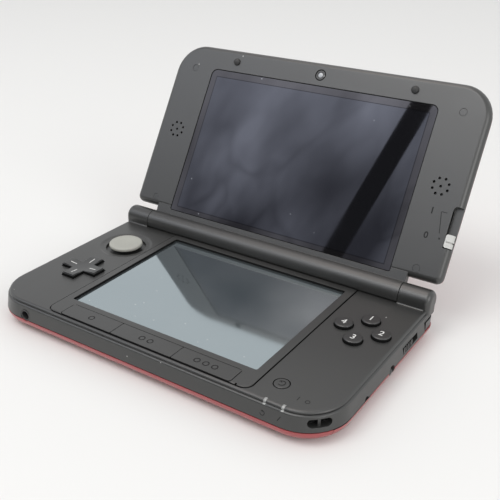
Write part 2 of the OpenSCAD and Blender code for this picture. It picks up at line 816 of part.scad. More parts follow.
circle_dish_r = circle_cap_r + 4.6;
circle_hole_r = circle_cap_r + 1.5;
skirt_r = circle_hole_r + circle_travel + part_gap;
skirt_top = deck_under - 0.2;
skirt_t = 0.9;
stem_r = 2.9;
carriage_top = skirt_top - skirt_t - 0.15;
carriage_t = 0.7;
carriage_half = skirt_r;
cross_gap = 0.35;
cross_flange_r = cross_span / 2 + 1.4;
cross_flange_top = deck_under - 0.9;
cross_pivot_z = cross_flange_top - 0.45;
cross_top = cap_top - 0.1;
gimbal_low = board_top + membrane_t / 2 + 0.15;
dish_r = 60;
dish_depth = 0.55;

module circle_pad_tray() color(plastic_black) {
  wall_y = carriage_half + circle_travel + 0.2;
  low = board_top + 0.05;
  floor_top = carriage_top - carriage_t - 0.15;
  translate([-circle_pad_x, circle_pad_y, 0]) {
    box([-carriage_half, -wall_y - 0.8, low], [carriage_half, wall_y + 0.8, floor_top]);
    for (s = [-1, 1]) translate([0, s * (wall_y + 0.4), 0])
      box([-carriage_half, -0.4, low], [carriage_half, 0.4, deck_under - 0.05]);
  }
}

module circle_pad_carriage() color(metal_grey)
  translate([-circle_pad_x, circle_pad_y, 0]) difference() {
    box([-carriage_half, -carriage_half, carriage_top - carriage_t],
        [carriage_half, carriage_half, carriage_top]);
    // slot that the stem slides in, front to back
    translate([0, 0, carriage_top - 2]) {
      for (s = [-1, 1]) translate([0, s * (circle_travel + 0.1), 0]) cylinder(r = stem_r + 0.1, h = 4);
      box([-stem_r - 0.1, -circle_travel - 0.1, 0], [stem_r + 0.1, circle_travel + 0.1, 4]);
    }
  }

module circle_pad() color(pad_grey)
  translate([-circle_pad_x, circle_pad_y, 0]) rotate_extrude($fn = 72) difference() {
    cap_low = deck_z - 0.35;
    union() {
      // stem, sliding skirt, neck and dished cap
      translate([0, carriage_top - carriage_t + 0.05]) square([stem_r, cap_low - carriage_top + carriage_t]);
      translate([0, skirt_top - skirt_t]) square([skirt_r, skirt_t]);
      polygon([
        [0, cap_low], [circle_cap_r - 0.9, cap_low], [circle_cap_r - 0.25, cap_low + 0.3],
        [circle_cap_r, cap_low + 0.9], [circle_cap_r - 0.1, cap_top - 0.35],
        [circle_cap_r - 0.5, cap_top], [circle_cap_r - 1, cap_top], [0, cap_top]
      ]);
    }
    // dish for the thumb
    translate([0, cap_top + 28.5]) circle(29.05, $fn = 180);
    translate([-50, 0]) square([50, 60]);
  }

module cross_pad_gimbal() color(metal_grey)
  translate([-cross_pad_x, cross_pad_y, gimbal_low]) {
    // stepped stud that the pad rocks on
    cylinder(r = 1.6, h = 0.75);
    cylinder(r = 0.9, h = cross_pivot_z - 0.1 - gimbal_low);
  }

module cross_pad() color(plastic_black)
  translate([-cross_pad_x, cross_pad_y, 0]) difference() {
    union() {
      translate([0, 0, cross_flange_top - 0.8]) cylinder(r = cross_flange_r, h = 0.8);
      translate([0, 0, cross_flange_top - eps]) linear_extrude(cross_top - 0.4 - cross_flange_top)
        cross_shape(cross_span, cross_arm);
      translate([0, 0, cross_top - 0.4 - 2 * eps]) linear_extrude(0.4)
        cross_shape(cross_span - 0.7, cross_arm - 0.7);
    }
    // shallow dish over the whole pad
    translate([0, 0, cross_top + dish_r - dish_depth]) sphere(r = dish_r, $fn = 120);
    // seat of the pivot
    translate([0, 0, gimbal_low]) cylinder(r = 1.1, h = cross_pivot_z + 0.05 - gimbal_low);
  }

module cross_pad_membrane() color(plastic_black)
  translate([-cross_pad_x, cross_pad_y, board_top]) {
    cylinder(r = cross_span / 2 + 1, h = membrane_t / 2);
    for (a = [0:90:270]) rotate([0, 0, a])
      translate([cross_span / 2 - 3.2, 0, 0]) cylinder(r = 2.4, h = membrane_t);
  }

// Places of the face buttons: back, front, left and right
button_places = [
  [buttons_x, buttons_y + buttons_ring],
  [buttons_x, buttons_y - buttons_ring],
  [buttons_x - buttons_ring, buttons_y],
  [buttons_x + buttons_ring, buttons_y]
];

module face_button(place) color(plastic_black)
  translate([place[0], place[1], 0]) {
    rotate_extrude() union() {
      flange_low = flange_top - flange_t;
      translate([0, flange_low]) square([button_r + 1, flange_t]);
      polygon([
        [0, flange_top - eps], [button_r, flange_top - eps], [button_r, cap_top - 0.5],
        [button_r - 0.15, cap_top - 0.2], [button_r - 0.5, cap_top], [0, cap_top]
      ]);
    }
  }

module face_button_membrane() color(plastic_black) {
  translate([buttons_x, buttons_y, board_top]) cylinder(r = buttons_ring + 0.8, h = membrane_t / 2);
  for (p = button_places) translate([p[0], p[1], board_top]) cylinder(r = 2.6, h = membrane_t);
}

key_split = key_row_half - 25.3;
key_gap = 0.12;
key_mid_half = key_split - key_gap;

module front_key(x0, x1, round_left, round_right) color(plastic_black) {
  mid_y = (key_front() + key_back) / 2;
  top = frame_z + 0.05;
  corner = 1.1;
  difference() {
    union() {
      translate([(x0 + x1) / 2, mid_y, 0]) round_plate(x1 - x0, key_d, 0.4, flange_top - eps, top);
      box([x0, key_front(), flange_top - flange_t], [x1, key_back + 1, flange_top]);
      translate([(x0 + x1) / 2, 0, 0])
        box([-2, mid_y - 1.5, membrane_top + 0.6], [2, mid_y + 1.5, flange_top - flange_t + eps]);
    }
    // bevel along the front that carries on the deck's rounded edge
    translate([x0 - 1, key_front(), top]) rotate([45, 0, 0]) cube([x1 - x0 + 2, 0.9, 0.9], center = false);
    translate([x0 - 1, key_front() - 1, top - 0.45]) rotate([28, 0, 0]) cube([x1 - x0 + 2, 2, 2]);
    if (round_left) translate([x0 + corner, key_front() + corner, 0]) corner_cut(corner, 180);
    if (round_right) translate([x1 - corner, key_front() + corner, 0]) corner_cut(corner, 270);
  }
}

module corner_cut(r, turn) {
  rotate([0, 0, turn]) translate([0, 0, flange_top]) difference() {
    cube([r + 1, r + 1, 6]);
    translate([0, 0, -1]) cylinder(r = r, h = 8);
  }
}

module front_key_membrane() color(plastic_black)
  for (s = [-1, 0, 1]) translate([s * (key_split + key_row_half) / 2, (key_front() + key_back) / 2, 0]) {
    box([-8, -2.5, board_top], [8, 2.5, board_top + membrane_t / 2]);
    box([-2, -1.5, board_top], [2, 1.5, membrane_top]);
  }

module power_button() color(plastic_black)
  translate([power_x, power_y, 0]) rotate_extrude() union() {
    translate([0, flange_top - flange_t]) square([power_r + 1, flange_t]);
    polygon([
      [0, flange_top - eps], [power_r, flange_top - eps], [power_r, deck_z - 0.05],
      [power_r - 0.3, deck_z + 0.2], [0, deck_z + 0.2]
    ]);
  }

module power_switch() color(metal_grey)
  translate([power_x, power_y, 0]) {
    box([-2.2, -2.2, board_top], [2.2, 2.2, board_top + 0.8]);
    translate([0, 0, board_top + 0.8 - eps])
      cylinder(r = 1, h = flange_top - flange_t - 0.7 - board_top - 0.8);
  }

// Shoulder buttons turn about an upright pin near their inner end
shoulder_pin = [shoulder_inner_x + 2.2, half_d - 3];
shoulder_pin_r = 0.7;
shoulder_gap = 0.35;
shoulder_end_gap = 1.1;

module shoulder_button() color(plastic_black)
  difference() {
    translate([0, 0, shoulder_z0 + 0.3]) linear_extrude(rear_top - shoulder_z0 - 0.5)
      shoulder_band(0.3, shoulder_depth - 2,
                    shoulder_inner_x + shoulder_gap, shoulder_side_y + shoulder_end_gap);
    translate([shoulder_pin[0], shoulder_pin[1], 0]) cylinder(r = shoulder_pin_r + 0.05, h = 20);
  }

module shoulder_switches() color(metal_grey)
  mirror_pair()
    translate([half_w - 18, half_d - shoulder_depth + 0.05, shoulder_z0 + 1]) cube([4, 1.35, 2.4]);

volume_knob_y = -28.5;
volume_travel = 4.6;

module volume_slider() color(plastic_black) {
  box([-half_w + 0.4, volume_knob_y - 2, volume_z - slot_half_h + 0.15],
      [-half_w + 1.85, volume_knob_y + 2, volume_z + slot_half_h - 0.15]);
  box([-half_w + 1.8, volume_knob_y - 1.2, volume_z - 0.65],
      [-half_w + 5, volume_knob_y + 1.2, volume_z + 0.65]);
}

module volume_control() color(metal_grey)
  difference() {
    intersection() {
      box([-half_w + housing_wall, volume_y0 + 2, volume_z - 2], [-half_w + 7, volume_y1 - 1, volume_z + 2]);
      linear_extrude(20) polygon(base_outline(housing_wall + part_gap));
    }
    box([-half_w, volume_knob_y - 1.2 - volume_travel, volume_z - 0.85],
        [-half_w + 5.3, volume_knob_y + 1.2 + volume_travel, volume_z + 0.85]);
  }

wireless_knob_y = 17.4;
wireless_travel = 3.4;
wireless_knob = 3.9;

module wireless_switch() color(plastic_dark) {
  difference() {
    box([half_w - 1.85, wireless_knob_y - wireless_knob, wireless_z - slot_half_h + 0.15],
        [half_w - 0.15, wireless_knob_y + wireless_knob, wireless_z + slot_half_h - 0.15]);
    // grip grooves
    for (i = [-1.5:1:1.5])
      translate([half_w - 0.6, wireless_knob_y + i * 1.5 - 0.35, 0]) cube([1, 0.7, 20]);
  }
  box([half_w - 5, wireless_knob_y - 1.2, wireless_z - 0.65],
      [half_w - 1.8, wireless_knob_y + 1.2, wireless_z + 0.65]);
}

module wireless_control() color(metal_grey)
  difference() {
    box([half_w - 7, wireless_y0 + 1, wireless_z - 2],
        [half_w - housing_wall - part_gap, wireless_y1 - 1, wireless_z + 1.2]);
    box([half_w - 5.3, wireless_knob_y - 1.4, wireless_z - 0.85],
        [half_w, wireless_knob_y + 1.4 + wireless_travel, wireless_z + 0.85]);
  }

// ---------- hinge ----------

cartridge_r = barrel_r - 1.4;
shaft_in = barrel_half - 6;
shaft_out = knuckle_end - 4.4;

module hinge_cartridges() color(metal_grey)
  mirror_pair() translate([0, hinge_y, hinge_z]) difference() {
    bar_x(barrel_half + knuckle_gap + 0.1, knuckle_end - 2.1, cartridge_r);
    bar_x(barrel_half, shaft_out + 0.3, shaft_r + shaft_clearance);
  }

module hinge_shafts() color(metal_grey)
  mirror_pair() translate([0, hinge_y, hinge_z]) bar_x(shaft_in, shaft_out, shaft_r);

// ---------- lid ----------

bezel_steps = 6;

module bezel_outer() {
  stack([
    for (i = [0:bezel_steps])
      let (a = 90 * i / bezel_steps)
      [lid_seam + bezel_rim * sin(a), lid_outline(bezel_run * (1 - cos(a)))]
  ]);
}

module lid_cover_outer() {
  rise = lid_seam - lid_back;
  reach = 7;
  stack([
    for (i = [0:7])
      let (z = rise * (1 - cos(90 * i / 7)))
      [lid_back + z, lid_outline(ellipse_inset(z, rise, reach))]
  ]);
}

module lid_cover_hollow() {
  rise = lid_seam - lid_back - cover_t;
  stack([
    for (i = [0:5])
      let (z = rise * (1 - cos(90 * i / 5)))
      [lid_back + cover_t + z + (i == 5 ? eps : 0), lid_outline(1.6 + ellipse_inset(z, rise, 4.5))]
  ]);
}

camera_v = lid_len - 6;
bumper_x = half_w - 33.5;
bumper_at = [[-bumper_x, camera_v], [bumper_x, camera_v]];
plug_x = half_w - 11.3;
plug_far = lid_len - 11.9;
plug_near = lid_start + 3.8;
plug_at = [[-plug_x, plug_far], [plug_x, plug_far], [-plug_x, plug_near], [plug_x, plug_near]];
plug_r = 1.6;
outer_camera_x = 11;
outer_camera_v = lid_len - 9.6;
ledge = 2;

// Notch of the depth slider in the lid's right-hand edge, open to the screen side
depth_notch_len = 17.1;
depth_v1 = speaker_v - 6.6;
depth_v0 = depth_v1 - depth_notch_len;
depth_x0 = half_w - 3.6;
depth_floor = face_z - 2.05;
depth_z = face_z - 1.7;
depth_round = 1.6;
depth_slit = 0.33;
depth_knob_v = depth_v0 + 3.1;
depth_knob = 5.4;
depth_stem = 2.4;
depth_travel = 10;

module depth_notch() {
  translate([0, 0, depth_floor]) linear_extrude(face_z - depth_floor + 1) union() {
    translate([depth_x0, depth_v0]) square([half_w, depth_v1 - depth_v0 - depth_round]);
    translate([depth_x0 + depth_round, depth_v0]) square([half_w, depth_v1 - depth_v0]);
    translate([depth_x0 + depth_round, depth_v1 - depth_round]) circle(depth_round);
  }
  // slit that the knob's stem reaches through
  box([depth_x0 - 1.4, depth_knob_v - depth_stem / 2 - 0.3, depth_z - depth_slit],
      [depth_x0 + eps, depth_knob_v + depth_travel + depth_stem / 2 + 0.3, depth_z + depth_slit]);
}

// Outline of the upper window
function window_outline(grow) =
  outline(window_w / 2 + grow, window_v0 - grow, window_v1 + grow, 0.8 + grow, window_corner_r + grow, 0);

module barrel_end_holes() {
  mirror_pair() bar_x(shaft_in - 0.02, barrel_half + 1, shaft_r + 0.02);
}

module lid_bezel() color(plastic_dark) lid_place() difference() {
  union() {
    difference() {
      bezel_outer();
      translate([0, 0, lid_seam - 1]) linear_extrude(bezel_rim - bezel_t + 1) polygon(lid_outline(1.6));
    }
    // neck from the face down to the barrel
    box([-barrel_half, 0, lid_seam], [barrel_half, lid_start + 1.6, face_z]);
    bar_x(-barrel_half, barrel_half, barrel_r);
    intersection() {
      bezel_outer();
      for (p = plug_at) translate([p[0], p[1], lid_seam]) cylinder(r = 2.6, h = bezel_rim - 0.5);
    }
    // walls of the depth slider's notch
    intersection() {
      bezel_outer();
      box([depth_x0 - 1, depth_v0 - 1, lid_seam], [half_w + 1, depth_v1 + 1, face_z]);
    }
  }
  // bore for the ribbon cable, and its way up into the lid
  bar_x(-flex_half - 6, flex_half + 6, flex_bore_r);
  barrel_end_holes();
  // window and the ledge that it lies on
  translate([0, 0, face_z - 0.2 - window_t]) linear_extrude(window_t + 1) polygon(window_outline(0.05));
  box([-window_w / 2 + ledge, window_v0 + ledge, lid_seam - 1],
      [window_w / 2 - ledge, window_v1 - ledge, face_z]);
  for (sx = [-1, 1]) translate([sx * speaker_x, speaker_v, lid_seam]) {
    cylinder(r = speaker_hole_r, h = bezel_rim + 1, $fn = 16);
    for (a = [22.5:45:360]) rotate([0, 0, a]) translate([speaker_ring_r, 0, 0])
      cylinder(r = speaker_hole_r, h = bezel_rim + 1, $fn = 16);
  }
  for (p = bumper_at) translate([p[0], p[1], face_z - 0.8]) cylinder(r = 1.35, h = 2);
  for (p = plug_at) {
    translate([p[0], p[1], face_z - 0.6]) cylinder(r = plug_r, h = 2);
    translate([p[0], p[1], face_z - 1.5]) cylinder(r = 1.5, h = 2);
    translate([p[0], p[1], lid_seam - 1]) cylinder(r = screw_r + 0.1, h = 4);
  }
  translate([0, camera_v, lid_seam - 1]) cylinder(r = 2.2, h = bezel_rim + 2);
  depth_notch();
}

module lid_cover() color(cover_red) lid_place() difference() {
  union() {
    difference() {
      lid_cover_outer();
      lid_cover_hollow();
    }
    intersection() {
      lid_cover_outer();
      for (p = plug_at) translate([p[0], p[1], lid_back + 0.6])
        cylinder(r = 2.2, h = lid_seam - lid_back - 0.6);
    }
  }
  for (p = plug_at) translate([p[0], p[1], lid_seam - 2.6]) cylinder(r = screw_r + 0.02, h = 4);
  for (s = [-1, 1]) translate([s * outer_camera_x, outer_camera_v, lid_back - 1])
    cylinder(r = 2.6, h = cover_t + 1.5);
}

module display_window() color(glass_dark) lid_place()
  translate([0, 0, face_z - 0.2 - window_t]) linear_extrude(window_t) polygon(window_outline(0));

upper_top = face_z - bezel_t - 0.05;
upper_t = 2.6;

module upper_display() color(plastic_black) lid_place()
  box([-window_w / 2 + 0.6, lid_start + 2, upper_top - upper_t],
      [window_w / 2 - 0.6, window_v1 + 0.4, upper_top]);

module lid_plate() color(metal_grey) lid_place()
  box([-window_w / 2 - 0.4, lid_start + 3.1, upper_top - upper_t - 0.7],
      [window_w / 2 + 0.4, window_v1 + 1, upper_top - upper_t]);

module speakers() color(metal_grey) lid_place()
  for (sx = [-1, 1]) translate([sx * speaker_x, speaker_v, 0]) {
    round_plate(11.2, 17, 3, upper_top - 3.4, upper_top - 0.4);
    translate([0, 0, upper_top - 0.4 - eps]) round_plate(9.8, 15, 3, 0, 0.4);
  }

module inner_camera() color(plastic_black) lid_place()
  translate([0, camera_v, 0]) {
    difference() {
      translate([0, 0, upper_top - 2.6]) cylinder(r = 2.15, h = face_z - 0.1 - upper_top + 2.6);
      translate([0, 0, face_z - 0.5]) cylinder(r = 1.1, h = 2);
    }
    translate([0, 0, face_z - 0.7]) cylinder(r = 1.1, h = 0.35);
    box([-4, -2.6, upper_top - 3.4], [4, 2.8, upper_top - 2.6 + eps]);
  }

module outer_cameras() color(plastic_black) lid_place()
  for (s = [-1, 1]) translate([s * outer_camera_x, outer_camera_v, 0]) {
    difference() {
      translate([0, 0, lid_back + 0.1]) cylinder(r = 2.5, h = cover_t);
      translate([0, 0, lid_back]) cylinder(r = 1.4, h = 0.5);
    }
    translate([0, 0, lid_back + cover_t + 0.1 - eps]) cylinder(r = 1.8, h = 0.6);
  }

module lid_bumpers() color(plastic_black) lid_place()
  for (p = bumper_at) translate([p[0], p[1], face_z - 0.75]) {
    cylinder(r = 1.3, h = 0.75 + eps);
    translate([0, 0, 0.75]) intersection() {
      translate([0, 0, -0.9]) sphere(r = 2.2);
      cylinder(r = 1.65, h = bumper_rise);
    }
  }

closed_gap = hinge_z - face_offset - frame_z;
bumper_rise = min(closed_gap - 0.15, 1.3);

module screw_plugs() color(plastic_black) lid_place()
  for (p = plug_at) translate([p[0], p[1], face_z - 0.55]) cylinder(r = plug_r - 0.05, h = 0.5);

module lid_screws() color(metal_grey) lid_place()
  for (p = plug_at) translate([p[0], p[1], 0]) {
    translate([0, 0, face_z - 1.4]) cylinder(r = 1.4, h = 0.7);
    translate([0, 0, lid_seam - 2.5]) cylinder(r = screw_r, h = bezel_rim + 2.5 - 1.4 + eps);
  }

flex_bore_r = 3;
flex_half = 10;

// Ribbon cable rolled in the barrel, open along its length
module display_flex() color("#b5742a") lid_place() difference() {
  bar_x(-flex_half, flex_half, flex_bore_r - 0.2);
  bar_x(-flex_half - 1, flex_half + 1, flex_bore_r - 0.7);
}

// Knob that follows the rounded rim, with a stem, a ridge and a grip groove
module depth_slider() color(pad_grey) lid_place() {
  low = depth_floor + 0.1;
  x0 = depth_x0 + 0.15;
  difference() {
    union() {
      intersection() {
        bezel_outer();
        translate([x0, depth_knob_v - depth_knob / 2, low]) linear_extrude(face_z - low) union() {
          translate([0.8, 0]) square([4, depth_knob]);
          translate([0, 0.8]) square([4, depth_knob - 1.6]);
          for (v = [0.8, depth_knob - 0.8]) translate([0.8, v]) circle(0.8);
        }
      }
      intersection() {
        translate([0.12, 0, 0.12]) bezel_outer();
        box([x0 + 0.5, depth_knob_v - 0.2, low], [half_w, depth_knob_v + 0.4, face_z + 1]);
      }
    }
    intersection() {
      difference() {
        translate([0, depth_knob_v - 0.8, lid_seam]) cube([half_w + 1, 0.6, 6]);
        translate([-0.3, 0, -0.3]) bezel_outer();
      }
      translate([x0 + 0.6, 0, lid_seam]) cube([8, 60, 6]);
    }
  }
  box([x0 - 1.4, depth_knob_v - depth_stem / 2, depth_z - 0.25],
      [x0 + 0.6, depth_knob_v + depth_stem / 2, depth_z + 0.25]);
}

module depth_control() color(board_green) lid_place()
  box([half_w - 6.4, depth_v0 + 1, depth_z - 1.2], [half_w - 5.05, depth_v1 - 3, depth_z + 0.1]);

// ---------- drawing ----------

base_cover();
base_housing();
cover_screws();
touch_panel();
touch_display();
display_tray();
main_board();
wireless_board();
battery();
game_card_slot();
memory_card_slot();
memory_card();
memory_card_door();
charge_port();
infrared_window();
audio_socket();
stylus_silo();
stylus();
light_pipes();
microphone();
cross_pad_membrane();
face_button_membrane();
front_key_membrane();
circle_pad_tray();
circle_pad_carriage();
circle_pad();
cross_pad_gimbal();
cross_pad();
face_button(button_places[0]);  // face_button_back
face_button(button_places[1]);  // face_button_front
face_button(button_places[2]);  // face_button_left
face_button(button_places[3]);  // face_button_right
front_key(-key_row_half, -key_split - key_gap, true, false);  // front_key_left
front_key(-key_mid_half, key_mid_half, false, false);  // front_key_centre
front_key(key_split + key_gap, key_row_half, false, true);  // front_key_right
power_button();
power_switch();
mirror([1, 0, 0]) shoulder_button();  // shoulder_button_left
shoulder_button();  // shoulder_button_right
shoulder_switches();
volume_slider();
volume_control();
wireless_switch();
wireless_control();
hinge_cartridges();
hinge_shafts();
lid_bezel();
lid_cover();
display_window();
upper_display();
lid_plate();
speakers();
inner_camera();
outer_cameras();
lid_bumpers();
screw_plugs();
lid_screws();
display_flex();
depth_slider();
depth_control();
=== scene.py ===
"""Clamshell handheld game console, lid open: finishes, edges, marks, camera and light.

Right-handed frame of the CAD model: +X right, +Y towards the hinge, +Z up, origin under the base.
Sizes on the console are in millimetres, and mm() and point() turn them into metres.
Sizes of the studio round it, and of the surface effects, are in metres.
"""
import json
import math

import bpy
from mathutils import Matrix, Vector

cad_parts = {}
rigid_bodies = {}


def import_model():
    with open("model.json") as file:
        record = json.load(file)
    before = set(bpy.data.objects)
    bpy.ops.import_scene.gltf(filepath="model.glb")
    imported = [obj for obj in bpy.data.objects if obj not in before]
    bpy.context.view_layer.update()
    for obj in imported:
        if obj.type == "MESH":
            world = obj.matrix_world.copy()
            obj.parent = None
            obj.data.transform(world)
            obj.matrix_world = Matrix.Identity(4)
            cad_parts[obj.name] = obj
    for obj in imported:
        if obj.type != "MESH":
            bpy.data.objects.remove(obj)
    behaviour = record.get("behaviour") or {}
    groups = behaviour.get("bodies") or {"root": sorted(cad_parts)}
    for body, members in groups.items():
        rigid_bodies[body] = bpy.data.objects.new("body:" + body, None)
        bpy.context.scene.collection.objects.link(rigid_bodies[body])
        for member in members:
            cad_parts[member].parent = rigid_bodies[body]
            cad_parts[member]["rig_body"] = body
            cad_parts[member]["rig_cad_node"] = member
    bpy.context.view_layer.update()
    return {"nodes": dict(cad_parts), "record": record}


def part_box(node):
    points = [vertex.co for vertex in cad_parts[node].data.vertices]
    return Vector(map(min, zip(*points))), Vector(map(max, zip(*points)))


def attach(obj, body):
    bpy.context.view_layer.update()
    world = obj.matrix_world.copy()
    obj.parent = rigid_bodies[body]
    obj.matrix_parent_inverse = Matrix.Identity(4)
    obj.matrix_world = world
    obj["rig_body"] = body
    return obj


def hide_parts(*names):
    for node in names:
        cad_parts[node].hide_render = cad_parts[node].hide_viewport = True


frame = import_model()
NODES = frame["nodes"]
JOINTS = {row["name"]: row for row in frame["record"]["behaviour"]["joints"]}
BODY_OF = {node: body for body, nodes in frame["record"]["behaviour"]["bodies"].items() for node in nodes}

# ---------- sizes and places on the console ----------


def mm(value):
    return value / 1000


def point(x, y, z):
    return Vector((mm(x), mm(y), mm(z)))


def box_of(node):
    """Lowest and highest corners of a node at rest, in millimetres."""
    return [[1000 * value for value in corner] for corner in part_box(node)]


def middle_of(node):
    """Middle of a node's box at rest, in millimetres."""
    low, high = box_of(node)
    return [(a + b) / 2 for a, b in zip(low, high)]


def top_of(node):
    """Height of a node's highest corner at rest, in millimetres."""
    return box_of(node)[1][2]


def joint_place(name):
    """Place of a joint at rest, in millimetres."""
    return [1000 * value for value in JOINTS[name]["pos_m"]]


def turned_about(axis, degrees):
    return Matrix.Rotation(math.radians(degrees), 4, axis)


def moved_to(x, y, z):
    return Matrix.Translation(point(x, y, z))


# the lid's own frame: X along the hinge, Y from the hinge to the lid's free edge, Z out of its face;
# in it, the height of the face and the place of the inner camera along Y
HINGE = joint_place("lid_hinge")
LID_ANGLE = -JOINTS["lid_hinge"]["range_deg"][0]
LID_FRAME = moved_to(*HINGE) @ turned_about("X", 180 - LID_ANGLE)
LID_FACE_Z = 0.1
CAMERA_V = 82.0

# the base: its housing's sides, the height of the deck, where the deck ends at the hinge trough, and the
# front wall with its lean in degrees
(_, FRONT_Y, _), (HALF_W, BACK_Y, _) = box_of("base_housing")
DECK_Z = 12.8
DECK_BACK_Y = 35.5
WALL_FOOT_Z = 5.75
WALL_LEAN = 9.2

# outlines as lowest Y, highest Y, corner radius at the lowest Y and at the highest Y
BASE_OUTLINE = (FRONT_Y, BACK_Y, 17.0, 8.0)
LID_OUTLINE = (7.2, 88.0, 3.0, 14.0)

# controls: nodes, middles, the low edge of the circle pad's cap and the radii of the two dishes
FACE_BUTTONS = ("face_button_back", "face_button_front", "face_button_left", "face_button_right")
FRONT_KEYS = ("front_key_left", "front_key_centre", "front_key_right")
CIRCLE_PAD = middle_of("circle_pad")[:2]
CIRCLE_CAP_LOW = 12.43
CIRCLE_DISH_R = 12.1
CROSS_PAD = joint_place("cross_pad_pitch")[:2]
CROSS_DISH_R = 60.0
CROSS_DISH_Z = 13.65

# right side: where along X it begins, and places along Y and Z of its openings and of the thumb switch
RIGHT_SIDE_X = 64
STYLUS_HOLE = middle_of("stylus")[1:]
STYLUS_HOLE_R = 3.2
DOOR_GAP = 0.45
DOOR_FRONT_Y = box_of("memory_card_door")[0][1] - DOOR_GAP
DOOR_BACK_Y = box_of("memory_card_door")[1][1] + DOOR_GAP
THUMB_FACE = (17.4, 8.0)
THUMB_HALF_SIZE = (3.3, 1.0)
GROOVE_FLOOR_X = 76.5
THUMB_FACE_X = 77.8


# ---------- helpers for node trees ----------


def math_node(tree, operation, first, second=None, clamp=False):
    node = tree.nodes.new("ShaderNodeMath")
    node.operation = operation
    node.use_clamp = clamp
    for index, value in enumerate((first, second)):
        if value is None:
            continue
        if isinstance(value, (int, float)):
            node.inputs[index].default_value = value
        else:
            tree.links.new(value, node.inputs[index])
    return node.outputs[0]


def noise_node(tree, vector, scale, detail=2.0, roughness=0.5, distortion=0.0):
    node = tree.nodes.new("ShaderNodeTexNoise")
    node.inputs["Detail"].default_value = detail
    node.inputs["Roughness"].default_value = roughness
    node.inputs["Distortion"].default_value = distortion
    tree.links.new(vector, node.inputs["Vector"])
    if isinstance(scale, (int, float)):
        node.inputs["Scale"].default_value = scale
    else:
        tree.links.new(scale, node.inputs["Scale"])
    return node.outputs["Fac"]


def spread(tree, noise, low, high):
    """Noise, whose values lie mostly between 0.3 and 0.7, spread from low to high."""
    node = tree.nodes.new("ShaderNodeMapRange")
    node.inputs["To Min"].default_value = low
    node.inputs["To Max"].default_value = high
    node.inputs["From Min"].default_value = 0.3
    node.inputs["From Max"].default_value = 0.7
    tree.links.new(noise, node.inputs["Value"])
    return node.outputs["Result"]


def mix_colour(tree, factor, first, second):
    """Mix of two colours, each a tuple or a socket."""
    node = tree.nodes.new("ShaderNodeMix")
    node.data_type = "RGBA"
    tree.links.new(factor, node.inputs["Factor"])
    for socket, value in ((node.inputs[6], first), (node.inputs[7], second)):
        if isinstance(value, tuple):
            socket.default_value = (*value, 1)
        else:
            tree.links.new(value, socket)
    return node.outputs[2]


def mapping_node(tree, vector, kind="POINT", **values):
    node = tree.nodes.new("ShaderNodeMapping")
    node.vector_type = kind
    for label, value in values.items():
        node.inputs[label].default_value = value
    tree.links.new(vector, node.inputs["Vector"])
    return node.outputs["Vector"]


def split_node(tree, vector):
    """Sockets of a vector's X, Y and Z."""
    node = tree.nodes.new("ShaderNodeSeparateXYZ")
    tree.links.new(vector, node.inputs[0])
    return node.outputs["X"], node.outputs["Y"], node.outputs["Z"]


def scaled(colour, factor):
    return tuple(min(1.0, factor * part) for part in colour)


# ---------- camera, floor and light ----------

# the camera that was fitted to the photograph; its place is in millimetres and its angles in degrees
CAMERA_AT = (161.011, -216.045, 166.572)
CAMERA_AZIMUTH = 33.372
CAMERA_ELEVATION = 26.347
CAMERA_ROLL = 0.352
CAMERA_LENS = 55.551
SENSOR_WIDTH = 36.0
NEAREST_SEEN = 0.005
FARTHEST_SEEN = 50

SKY_SEEN = (0.92, 0.93, 0.935)
SKY_LIGHT_LOW = 0.75
SKY_LIGHT_HIGH = 0.94
FLOOR_SIZE = 24
FLOOR_COLOUR = (0.77, 0.767, 0.76)
FLOOR_ROUGHNESS = 0.6
FLOOR_SHEEN = 0.1
LIGHTS_AIM = (0, 0, 0.02)


def add_camera():
    """The camera of the photograph, from its place and its three angles."""
    azimuth = math.radians(CAMERA_AZIMUTH)
    elevation = math.radians(CAMERA_ELEVATION)
    roll = math.radians(CAMERA_ROLL)
    back = Vector((
        math.sin(azimuth) * math.cos(elevation),
        -math.cos(azimuth) * math.cos(elevation),
        math.sin(elevation),
    ))
    right = (-back).cross(Vector((0, 0, 1))).normalized()
    up = back.cross(right)
    turned_right = math.cos(roll) * right + math.sin(roll) * up
    turned_up = -math.sin(roll) * right + math.cos(roll) * up
    place = Matrix((turned_right, turned_up, back)).transposed().to_4x4()
    place.translation = point(*CAMERA_AT)
    data = bpy.data.cameras.new("view_camera")
    data.lens = CAMERA_LENS
    data.sensor_width = SENSOR_WIDTH
    data.clip_start = NEAREST_SEEN
    data.clip_end = FARTHEST_SEEN
    camera = bpy.data.objects.new("view_camera", data)
    bpy.context.scene.collection.objects.link(camera)
    camera.matrix_world = place
    bpy.context.scene.camera = camera


def add_area_light(name, at, size, power, colour):
    """A round soft light that faces the console."""
    data = bpy.data.lights.new(name, "AREA")
    data.shape = "DISK"
    data.size = size
    data.energy = power
    data.color = colour
    light = bpy.data.objects.new(name, data)
    bpy.context.scene.collection.objects.link(light)
    light.location = Vector(at)
    light.rotation_euler = (Vector(LIGHTS_AIM) - Vector(at)).to_track_quat("-Z", "Y").to_euler()


def mix_backgrounds(tree, seen, elsewhere):
    """Mix of two backgrounds: one seen directly, in gloss and in glass, and one that lights the scene."""
    path = tree.nodes.new("ShaderNodeLightPath")
    direct = math_node(tree, "MAXIMUM", path.outputs["Is Camera Ray"], path.outputs["Is Glossy Ray"])
    clear = math_node(tree, "MAXIMUM", direct, path.outputs["Is Transmission Ray"])
    mix = tree.nodes.new("ShaderNodeMixShader")
    tree.links.new(clear, mix.inputs[0])
    tree.links.new(elsewhere.outputs[0], mix.inputs[1])
    tree.links.new(seen.outputs[0], mix.inputs[2])
    return mix


